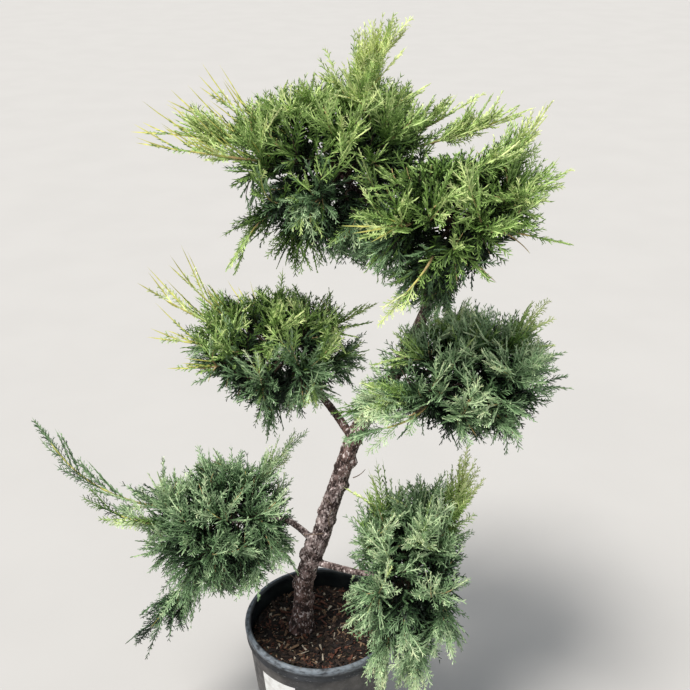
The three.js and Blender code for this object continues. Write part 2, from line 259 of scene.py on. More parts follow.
weathered_and_highlit = Finish("black_polythene_weathered_and_highlit", 0.55, 0.4)
pot_height = weathered_and_highlit.height()
lip_high = weathered_and_highlit.between(pot_height, 0.247, 0.258)
# The top of the lip is painted a pale bluish grey in patches: a painted highlight along the rim.
painted_lip_highlight = weathered_and_highlit.times(lip_high, weathered_and_highlit.cloud(90, 0.28, 0.62, 6, (1, 1, 2.5)))
black = weathered_and_highlit.mix(weathered_and_highlit.cloud(26, 0.35, 0.7), srgb(34, 36, 39), srgb(48, 50, 54))
black_and_lip_highlight = weathered_and_highlit.mix(painted_lip_highlight, black, srgb(111, 118, 125))
under_lip = weathered_and_highlit.between(pot_height, 0.240, 0.222)
dusty = weathered_and_highlit.times(under_lip, weathered_and_highlit.cloud(17, 0.30, 0.62, 5, (1, 1, 0.5)))
dusted = weathered_and_highlit.mix(dusty, black_and_lip_highlight, srgb(80, 77, 75))
scuffs = weathered_and_highlit.cloud(140, 0.60, 0.72, 8, (1, 1, 4))
weathered_and_highlit.colour(weathered_and_highlit.mix(scuffs, dusted, srgb(104, 105, 105)))
weathered_and_highlit.roughness(weathered_and_highlit.between(weathered_and_highlit.cloud(60, 0.3, 0.7), 0, 1, 0.45, 0.75))
weathered_and_highlit.bump(weathered_and_highlit.cloud(320, 0.2, 0.8, 6), 0.25, 0.0006)

# The pot's inside is painted a darker black than its outside: painted shade in its hollow.
inside_shade = Finish("black_polythene_inside", 0.4, 0.4)
inside_shade.colour(inside_shade.mix(inside_shade.cloud(40, 0.4, 0.75), srgb(19, 24, 27), srgb(40, 44, 44)))
inside_shade.bump(inside_shade.cloud(200, 0.2, 0.8), 0.2, 0.0005)

pot = show("pot_shell", spun("pot_shell", POT_OUTSIDE + POT_INSIDE, POT_TURNS))
bits = bmesh.new()
for i in range(DRAIN_COUNT):
    turn = (i + 0.5) / DRAIN_COUNT * 2 * math.pi
    made = bmesh.ops.create_cone(
        bits,
        cap_ends=True,
        segments=DRAIN_SIDES,
        radius1=DRAIN_RADIUS * MM,
        radius2=DRAIN_RADIUS * MM,
        depth=DRAIN_BIT_LENGTH * MM,
    )
    east = DRAIN_FROM_CENTRE * math.cos(turn) * MM
    north = DRAIN_FROM_CENTRE * math.sin(turn) * MM
    bmesh.ops.translate(bits, verts=made["verts"], vec=(east, north, POT_FLOOR / 2 * MM))
bit_mesh = finished("drain_bits", bits)
drain_bits = placed("drain_bits", bit_mesh)
cut = pot.modifiers.new("drains", "BOOLEAN")
cut.operation = "DIFFERENCE"
cut.solver = "MANIFOLD"
cut.object = drain_bits
settle(pot)
bpy.data.objects.remove(drain_bits)
bpy.data.meshes.remove(bit_mesh)
pot.data.materials.clear()
pot.data.materials.append(weathered_and_highlit.material)
pot.data.materials.append(inside_shade.material)
inner_flare = INNER_RIM_RADIUS - INNER_FOOT_RADIUS
for face in pot.data.polygons:
    middle = face.center / MM
    wall_inside = INNER_FOOT_RADIUS + (middle.z - POT_FLOOR) * inner_flare / INNER_HEIGHT
    is_inside = math.hypot(middle.x, middle.y) < wall_inside and middle.z > POT_FLOOR - 0.5
    face.material_index = int(is_inside)
pot.data.shade_smooth()
pot.data.set_sharp_from_angle(angle=SHARP_OVER)
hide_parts("pot")


# A blank white paper sticker is stuck on the pot's wall, a little to the left of its front. Rain has
# cockled it and lifted its edge.
STICKER_FROM = math.radians(-141)
STICKER_TO = math.radians(-109)
STICKER_LOW = 148
STICKER_HIGH = 210
STICKER_PROUD = 0.25
STICKER_THICK = 0.25
COCKLE = 0.25
# Where the pot's straight wall begins and ends
WALL_FOOT_RADIUS, WALL_FOOT = POT_OUTSIDE[5]
WALL_TOP_RADIUS, WALL_TOP = POT_OUTSIDE[9]
WALL_FLARE = WALL_TOP_RADIUS - WALL_FOOT_RADIUS

paper = Finish("blank_white_paper", 0.6, 0.3)
paper.colour(paper.mix(paper.cloud(60, 0.35, 0.75, 5), srgb(232, 232, 230), srgb(206, 204, 200)))
paper.bump(paper.cloud(70, 0.1, 0.9, 3), 0.4, 0.001)

patch = bmesh.new()
bmesh.ops.create_grid(patch, x_segments=26, y_segments=16, size=0.5)
for corner in patch.verts:
    turn = STICKER_FROM + (STICKER_TO - STICKER_FROM) * (corner.co.x + 0.5)
    high = STICKER_LOW + (STICKER_HIGH - STICKER_LOW) * (corner.co.y + 0.5)
    wall = WALL_FOOT_RADIUS + (high - WALL_FOOT) * WALL_FLARE / (WALL_TOP - WALL_FOOT)
    cockle = COCKLE * noise.noise(Vector((turn * 9, high / 16, 3.0)))
    out = (wall + STICKER_PROUD + max(0, cockle)) * MM
    corner.co = (out * math.cos(turn), out * math.sin(turn), high * MM)
bmesh.ops.recalc_face_normals(patch, faces=patch.faces)
bmesh.ops.solidify(patch, geom=patch.faces, thickness=STICKER_THICK * MM)
bmesh.ops.recalc_face_normals(patch, faces=patch.faces)
sticker = show("pot_sticker", finished("pot_sticker", patch), paper.material)


# The root ball is potting mix that roots have bound into one plug, and it fills the pot to 30 mm
# under its lip. Its top is dressed with shredded bark, dark and damp, with some red and pale chips.
ROOT_BALL_FOOT = 108.4
ROOT_BALL_EDGE = 130.3
ROOT_BALL_UNDERSIDE = 3.3
ROOT_BALL_CORNER = 5
ROOT_BALL_SIDE = 219
SIDE_STEPS = 8
PLUG_TURNS = 96
MULCH_TOP = 235
STEM_FOOT = (-37, 2)
CHIP_REACH = 127
CHIP_SEED = 5
CHIP_SIZES = (
    # count, length from and to, width, thickness
    (240, 13, 27, 4.5, 1.8),
    (900, 7, 15, 3.2, 1.4),
    (1500, 3, 8, 2.0, 1.0),
)
CHIP_SHARES = (0.38, 0.30, 0.15, 0.11, 0.06)


def mulch_height(x, y):
    """The mulch's top in millimetres: lumpy, a little higher round the stem and lower at the wall."""
    wide_lumps = 2.6 * noise.noise(Vector((x / 17, y / 17, 5.0)))
    lumps = wide_lumps + 1.1 * noise.noise(Vector((x / 6, y / 6, 9.0)))
    from_stem = math.hypot(x - STEM_FOOT[0], y - STEM_FOOT[1])
    mound = 2.2 * math.exp(-((from_stem / 38) ** 2))
    slope = 7 * max(0, (math.hypot(x, y) - 95) / 35) ** 1.5
    return MULCH_TOP - 2.2 + lumps + mound - slope


soil = Finish("damp_potting_mix", 0.95, 0.25)
soil_tone = soil.mix(soil.cloud(170, 0.35, 0.65, 6), srgb(15, 12, 10), srgb(40, 31, 26))
soil.colour(soil.mix(soil.cloud(55, 0.56, 0.72), soil_tone, srgb(48, 50, 36)))
soil.bump(soil.cloud(420, 0.2, 0.8, 8), 0.8, 0.002)

plug_profile = [(0, ROOT_BALL_UNDERSIDE), (ROOT_BALL_FOOT - 2, ROOT_BALL_UNDERSIDE)]
for i in range(SIDE_STEPS + 1):
    radius = ROOT_BALL_FOOT + (ROOT_BALL_EDGE - ROOT_BALL_FOOT) * i / SIDE_STEPS
    plug_profile.append((radius, ROOT_BALL_CORNER + ROOT_BALL_SIDE * i / SIDE_STEPS))
plug_profile += [(radius, MULCH_TOP) for radius in range(128, -1, -4)]
plug_mesh = spun("root_ball_plug", plug_profile, PLUG_TURNS)
for corner in plug_mesh.vertices:
    if corner.co.z > (MULCH_TOP - 1) * MM:
        corner.co.z = mulch_height(corner.co.x / MM, corner.co.y / MM) * MM
plug_mesh.shade_smooth()
plug = show("root_ball_plug", plug_mesh, soil.material)
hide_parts("root_ball")

CHIP_TONES = (
    ("bark_chip_black", srgb(21, 17, 15), srgb(33, 26, 23)),
    ("bark_chip_brown", srgb(44, 33, 27), srgb(62, 47, 38)),
    ("bark_chip_red", srgb(74, 44, 33), srgb(95, 60, 46)),
    ("bark_chip_tan", srgb(104, 81, 63), srgb(128, 104, 81)),
    ("bark_chip_pale", srgb(144, 132, 114), srgb(169, 158, 143)),
)
chip_materials = []
for name, dark, light in CHIP_TONES:
    chip = Finish(name, 0.85, 0.3)
    chip.colour(chip.mix(chip.cloud(260, 0.3, 0.7, 4), dark, light))
    chip.bump(chip.cloud(600, 0.2, 0.8, 4), 0.5, 0.0008)
    chip_materials.append(chip.material)


def turned(angle, first, second):
    """The matrix of a turn from one axis towards another."""
    matrix = np.eye(3)
    matrix[first, first] = matrix[second, second] = math.cos(angle)
    matrix[second, first] = math.sin(angle)
    matrix[first, second] = -math.sin(angle)
    return matrix


def joined(name, points, faces, tones, materials, smooth=False):
    """One mesh of many small things, from arrays of points in millimetres, corners and tones."""
    mesh = bpy.data.meshes.new(name)
    mesh.from_pydata((points * MM).tolist(), [], faces.tolist())
    for material in materials:
        mesh.materials.append(material)
    mesh.polygons.foreach_set("material_index", tones.astype(np.int32))
    if smooth:
        mesh.shade_smooth()
    mesh.update()
    return mesh


BOX_CORNERS = np.array([(x, y, z) for x in (-1, 1) for y in (-1, 1) for z in (-1, 1)], float) / 2
BOX_FACES = np.array(
    [(0, 1, 3, 2), (4, 6, 7, 5), (0, 4, 5, 1), (2, 3, 7, 6), (0, 2, 6, 4), (1, 5, 7, 3)],
)
dice = np.random.default_rng(CHIP_SEED)
chip_points, chip_tones = [], []
for count, shortest, longest, width, thickness in CHIP_SIZES:
    for _ in range(count):
        from_centre = CHIP_REACH * math.sqrt(dice.random())
        turn = 2 * math.pi * dice.random()
        spot = np.array((from_centre * math.cos(turn), from_centre * math.sin(turn)))
        long = shortest + (longest - shortest) * dice.random() ** 2
        size = np.array((long, width * (0.5 + dice.random()), thickness * (0.6 + 0.8 * dice.random())))
        body = BOX_CORNERS * (0.75 + 0.5 * dice.random((8, 3)))
        taper = np.where(body[:, :1] > 0, 0.25 + 0.75 * dice.random(), 1.0)
        body = body * np.concatenate((np.ones((8, 1)), taper, taper), axis=1) * size
        yaw, pitch, roll = dice.uniform((-math.pi, -0.5, -0.7), (math.pi, 0.5, 0.7))
        body = body @ (turned(yaw, 0, 1) @ turned(pitch, 2, 0) @ turned(roll, 1, 2)).T
        spot = spot * min(1, (ROOT_BALL_EDGE - 1 - 0.6 * long) / max(from_centre, 1))
        lift = mulch_height(*spot) + 0.3 + 0.25 * abs(math.sin(pitch)) * long
        chip_points.append(body + (*spot, lift))
        chip_tones.append(dice.choice(len(CHIP_SHARES), p=CHIP_SHARES))
first_corners = len(BOX_CORNERS) * np.arange(len(chip_points))
chip_faces = (BOX_FACES[None] + first_corners[:, None, None]).reshape(-1, 4)
face_tones = np.repeat(chip_tones, len(BOX_FACES))
mulch_mesh = joined("bark_mulch", np.concatenate(chip_points), chip_faces, face_tones, chip_materials)
chips = show("bark_mulch", mulch_mesh)


# The stem leans and winds from its root flare to its fork, and a bough leaves it for each ball of
# foliage. All are living wood in flaky red-brown bark, paler and greyer on the younger wood, and they
# grew as one piece. Each bough runs on to the middle of its ball.
STEM_LINE = (
    (-40, 3, 205), (-37, 2, 240), (-32, -3, 300), (-28, -14, 367), (-15, -20, 413), (0, -26, 460),
    (20, -30, 538), (42, -30, 612), (66, -24, 686), (105, -12, 742), (136, 0, 798), (170, 15, 872),
    (187, 20, 925),
)
STEM_BASE_RADIUS = 18.5
STEM_FORK_RADIUS = 8.5
FLARE = 9
FLARE_HEIGHT = 24
FLARE_LOBES = 3
LOBE_DEPTH = 0.3
STEM_SUNK_TO = 231
CLEAR = 0.3
INNER_LEAD = 30
INNER_TAPER = 0.4
BOUGHS = {
    "bough_low_left": (((-3, -26, 450), (-24, -30, 486), (-52, -28, 505)), (7.5, 5.5)),
    "bough_low_right": (((-15, -20, 413), (22, -42, 416), (66, -62, 420)), (7, 6)),
    "bough_mid_left": (((61, -25, 669), (24, 14, 712), (-10, 46, 734)), (8, 6)),
    "bough_mid_right": (((81, -20, 709), (110, -34, 746), (142, -48, 772)), (9, 7)),
    "bough_upper_right": (((183, 19, 912), (198, -6, 964), (200, -44, 1014)), (6.5, 5.5)),
    "bough_top": (((179, 18, 898), (166, 36, 975), (104, 60, 1036)), (7, 6)),
}
BOUGH_STEPS = 13
# The middles of the balls that the boughs run on into
BALL_MIDDLES = {
    "bough_top": (30, 80, 1104),
    "bough_upper_right": (202, -95, 1080),
    "bough_mid_right": (236, -66, 802),
    "bough_mid_left": (-76, 78, 784),
    "bough_low_left": (-168, -20, 490),
    "bough_low_right": (158, -94, 446),
}
# Collars round old pruning scars: height, turn about the stem, how far each stands out, and its size
SCARS = (
    (452, 182, 8, 17), (426, 176, 9, 15), (440, 200, 5, 13), (631, 350, 5, 12), (640, 250, 3, 11),
    (620, 190, 3, 11), (584, 352, 5, 11), (592, 300, 3, 10), (578, 215, 3, 11), (528, 195, 4, 12),
    (512, 330, 3, 12), (545, 255, 3, 9), (484, 300, 3, 12), (668, 20, 4, 11), (690, 200, 3, 10),
    (380, 330, 3, 11), (350, 170, 4, 13), (310, 20, 4, 12), (330, 260, 3, 11),
)
BARK_VOXEL = 1.5
SKIN_BLOCK = 4000
# Noise vectors follow the clock unless they are given a seed
BARK_SEED = 7


def unit(vectors):
    """The vectors at length one."""
    vectors = np.asarray(vectors, float)
    return vectors / np.linalg.norm(vectors, axis=-1, keepdims=True)


def run_along(line):
    """How far along the line each of its points is."""
    return np.concatenate(([0], np.cumsum(np.linalg.norm(np.diff(line, axis=0), axis=1))))


def points_at(where, run, line):
    """The line's points at some places of its run."""
    return np.stack([np.interp(where, run, line[:, k]) for k in range(3)], axis=-1)


def even_line(points, count):
    """A centripetal Catmull-Rom curve through the points, sampled evenly along its length."""
    line = np.array(points, float)
    line = np.concatenate(([2 * line[0] - line[1]], line, [2 * line[-1] - line[-2]]))
    gaps = np.linalg.norm(np.diff(line, axis=0), axis=1) ** 0.5
    dense = []
    share = np.linspace(0, 1, 24, endpoint=False)[:, None]
    for i in range(1, len(line) - 2):
        before, a, b, after = line[i - 1 : i + 3]
        first, gap, last = gaps[i - 1 : i + 2]
        leave = ((a - before) / first - (b - before) / (first + gap) + (b - a) / gap) * gap
        arrive = ((b - a) / gap - (after - a) / (gap + last) + (after - b) / last) * gap
        square, cube = share**2, share**3
        dense.append(
            a * (2 * cube - 3 * square + 1)
            + leave * (cube - 2 * square + share)
            + b * (3 * square - 2 * cube)
            + arrive * (cube - square)
        )
    dense = np.concatenate((*dense, [line[-2]]))
    run = run_along(dense)
    return points_at(np.linspace(0, run[-1], count), run, dense)


def bezier(start, control, end, shares):
    """Points of a curve that leaves its start towards the control and arrives from it."""
    shares = np.asarray(shares)[..., None]
    return (1 - shares) ** 2 * start + 2 * shares * (1 - shares) * control + shares**2 * end


STEM_STEPS = 121
stem_line = even_line(STEM_LINE, STEM_STEPS)
along = np.linspace(0, 1, STEM_STEPS)
rise = np.maximum(0, stem_line[:, 2] - MULCH_TOP)
stem_radii = STEM_BASE_RADIUS + (STEM_FORK_RADIUS - STEM_BASE_RADIUS) * along**2
stem_radii += FLARE * np.exp(-rise / FLARE_HEIGHT)
shown = stem_line[:, 2] > STEM_SUNK_TO
limbs = [("stem", stem_line[shown], stem_radii[shown])]
inner_stems = {}
for name, (points, (foot_radius, tip_radius)) in BOUGHS.items():
    shares = np.linspace(0, 1, BOUGH_STEPS)
    start, control, tip = np.array(points, float)
    line = bezier(start, control, tip, shares)
    limbs.append((name, line, foot_radius + (tip_radius - foot_radius) * shares))
    heading = unit(tip - control)
    tip = tip + CLEAR * heading
    inner = bezier(tip, tip + INNER_LEAD * heading, np.array(BALL_MIDDLES[name], float), shares)
    inner_stems[name] = inner
    limbs.append((name + "_inner", inner, tip_radius * (1 - INNER_TAPER * shares)))


def tube_mesh(name, lines, sides):
    """Blender's own curve tubes along lines of (points, radii) in millimetres, as one mesh."""
    wood = bpy.data.curves.new(name, "CURVE")
    wood.dimensions = "3D"
    wood.bevel_depth = MM
    wood.bevel_resolution = sides
    wood.use_fill_caps = True
    for line, radii in lines:
        spline = wood.splines.new("POLY")
        spline.points.add(len(line) - 1)
        for point, spot, radius in zip(spline.points, line, radii):
            point.co = (*(np.array(spot) * MM), 1)
            point.radius = radius
    holder = placed(name, wood)
    bpy.context.view_layer.update()
    mesh = bpy.data.meshes.new_from_object(holder)
    bpy.data.objects.remove(holder)
    bpy.data.curves.remove(wood)
    return mesh


form = bmesh.new()
form.from_mesh(tube_mesh("stem_bark", [(line, radii) for _, line, radii in limbs], 6))
for high, turn, proud, radius in SCARS:
    spot = points_at(high, stem_line[:, 2], stem_line)
    thick = np.interp(high, stem_line[:, 2], stem_radii)
    turn = math.radians(turn)
    spot[:2] += (thick + proud - radius) * np.array((math.cos(turn), math.sin(turn)))
    scar = bmesh.ops.create_icosphere(form, subdivisions=3, radius=radius * MM)
    bmesh.ops.translate(form, verts=scar["verts"], vec=Vector(spot) * MM)
bark = show("stem_bark", finished("stem_bark", form))
skin = bark.modifiers.new("skin", "REMESH")
skin.mode = "VOXEL"
skin.voxel_size = BARK_VOXEL * MM
soften = bark.modifiers.new("soften", "SMOOTH")
soften.factor = 0.5
soften.iterations = 9
bark_mesh = settle(bark)

# Each spot on the skin finds the limb that it lies on, and takes its relief from how far along and
# round that limb it is: plates of bark between lengthwise cracks, on a lumpy stem
limb_spots = np.concatenate([line for _, line, _ in limbs])
limb_sizes = np.concatenate([radii for _, _, radii in limbs])
limb_headings = np.concatenate([unit(np.gradient(line, axis=0)) for _, line, _ in limbs])
limb_runs = np.concatenate([run_along(line) for _, line, _ in limbs])


def of_vertices(mesh, name):
    """A vector of every vertex, as an array."""
    values = np.zeros(len(mesh.vertices) * 3, np.float32)
    mesh.vertices.foreach_get(name, values)
    return values.reshape(-1, 3)


skin_spots = of_vertices(bark_mesh, "co") / MM
skin_normals = of_vertices(bark_mesh, "normal")
nearest = np.empty(len(skin_spots), int)
for i in range(0, len(skin_spots), SKIN_BLOCK):
    gaps = np.linalg.norm(skin_spots[i : i + SKIN_BLOCK, None] - limb_spots[None], axis=2) - limb_sizes
    nearest[i : i + SKIN_BLOCK] = gaps.argmin(1)
off_axis = skin_spots - limb_spots[nearest]
run = limb_runs[nearest] + (off_axis * limb_headings[nearest]).sum(1)
size = limb_sizes[nearest]
noise.seed_set(BARK_SEED)
relief = np.empty(len(skin_spots), np.float32)
plates = np.empty(len(skin_spots), np.float32)
for i, ((x, y, _), distance) in enumerate(zip(off_axis.tolist(), run.tolist())):
    grain = Vector((x / 4.2, y / 4.2, distance / 9))
    bent = grain + 1.1 * noise.noise_vector(grain * 0.55)
    near, far = noise.voronoi(bent)[0][:2]
    rough = noise.fractal(grain * 1.7, 0.8, 2.2, 5)
    lump = noise.noise(Vector((x / 14, y / 14, distance / 16)))
    relief[i] = 0.50 * min(1, (far - near) * 2.2) + 0.42 * rough + 0.55 * lump
    plates[i] = 0.5 + 0.5 * noise.noise(bent * 0.8 + Vector((0, 0, 7)))
depth = np.clip(size * 0.12, 0.45, 1.9)
above = np.maximum(0, skin_spots[:, 2] - MULCH_TOP)
foot_turn = np.arctan2(off_axis[:, 1], off_axis[:, 0])
lobes = FLARE * LOBE_DEPTH * np.cos(FLARE_LOBES * foot_turn + 0.6) * np.exp(-above / FLARE_HEIGHT)
skin_spots += skin_normals * ((relief - 0.55) * depth)[:, None]
skin_spots[:, :2] += skin_normals[:, :2] * lobes[:, None]
bark_mesh.vertices.foreach_set("co", (skin_spots * MM).astype(np.float32).ravel())
for name, values in (("relief", relief), ("plates", plates)):
    layer = bark_mesh.attributes.new(name, "FLOAT", "POINT")
    layer.data.foreach_set("value", values.astype(np.float32))
bark_mesh.shade_smooth()
bark_mesh.update()

skin_finish = Finish("flaky_juniper_bark", 0.85, 0.3)
stem_height = skin_finish.height()
above_flare = skin_finish.between(stem_height, 0.32, 0.48)
# Between 0.53 and 0.68 m up, under the balls, the young wood fades back to the darker old colour: painted
# shade from the foliage above.
below_painted_shade = skin_finish.between(stem_height, 0.68, 0.53)
young_and_unshaded = skin_finish.times(above_flare, below_painted_shade)
crevice = skin_finish.between(skin_finish.attribute("relief"), -0.10, 0.42)
plate_tone = skin_finish.between(skin_finish.attribute("plates"), 0.25, 0.75)
old_wood_and_shade_colour = skin_finish.mix(plate_tone, srgb(82, 58, 50), srgb(122, 98, 92))
young_colour = skin_finish.mix(plate_tone, srgb(112, 96, 92), srgb(164, 148, 145))
plate_colour = skin_finish.mix(young_and_unshaded, old_wood_and_shade_colour, young_colour)
# Where the relief is low the bark is painted near-black: partly the dark of its furrows and partly painted
# shade in the cracks.
red_brown = skin_finish.mix(crevice, srgb(46, 34, 31), plate_colour)
loose_flakes = skin_finish.times(skin_finish.cloud(230, 0.55, 0.62, 6, (1, 1, 0.6)), crevice)
skin_finish.colour(skin_finish.mix(loose_flakes, red_brown, srgb(208, 194, 190)))
skin_finish.bump(skin_finish.cloud(420, 0.2, 0.8, 8, (1, 1, 0.4)), 0.8, 0.0015)
bark_mesh.materials.append(skin_finish.material)
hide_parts("stem", *BOUGHS)


# Short dead twigs still stand on the stem, where small shoots died in the shade of the balls. They
# grew out of its wood, and are dry, brittle and thin.
DEAD_TWIGS = (
    ((8, -44, 490), (-8, -52, 494), (-26, -50, 492), 1.1),
    ((20, -46, 508), (14, -56, 528), (24, -58, 552), 1.2),
    ((24, -44, 552), (14, -52, 566), (8, -54, 574), 0.9),
    ((60, -40, 604), (72, -46, 612), (80, -48, 626), 1.0),
    ((-36, 12, 330), (-52, 20, 344), (-64, 22, 350), 1.0),
    ((70, -2, 650), (84, 14, 664), (88, 26, 684), 1.0),
)
dry = Finish("dry_dead_twig", 0.9, 0.25)
dry.colour(dry.mix(dry.cloud(220, 0.3, 0.7, 4), srgb(84, 66, 56), srgb(142, 124, 108)))
dry.bump(dry.cloud(500, 0.2, 0.8, 5), 0.4, 0.0006)
twig_lines = []
for start, bend, tip, radius in DEAD_TWIGS:
    shares = np.linspace(0, 1, 7)
    line = bezier(np.array(start, float), np.array(bend, float), np.array(tip, float), shares)
    twig_lines.append((line, radius * (1 - 0.55 * shares)))
stubs = show("dead_twigs", tube_mesh("dead_twigs", twig_lines, 2), dry.material)


# Each ball is clipped young growth round the end of its bough. Shoots fan out from the bough, some of
# them long leaders that the shears have missed, and feathery sprays of scale needles stand on them.
# Low shoots are brown, then orange, and green where they still grow.
SHOOT_ROOTED = 0.42
SHOOT_SHORTEST = 0.9
SHOOT_SPREAD = 0.2
SHOOT_JITTER = 0.3
SHOOT_BEND = 0.18
GOLDEN_TURN = math.pi * (3 - math.sqrt(5))
# Foliage keeps this clear of limbs and pot in millimetres, and of other balls in shares of their reach
LIMB_GAP = 3
POT_GAP = 5
NEIGHBOUR_GAP = 0.07
STRANGER_REACH = 1.06
# How far past the part's box and the clipped sides it may stand
BOX_EASE = 12
CLIP_EASE = 0.14
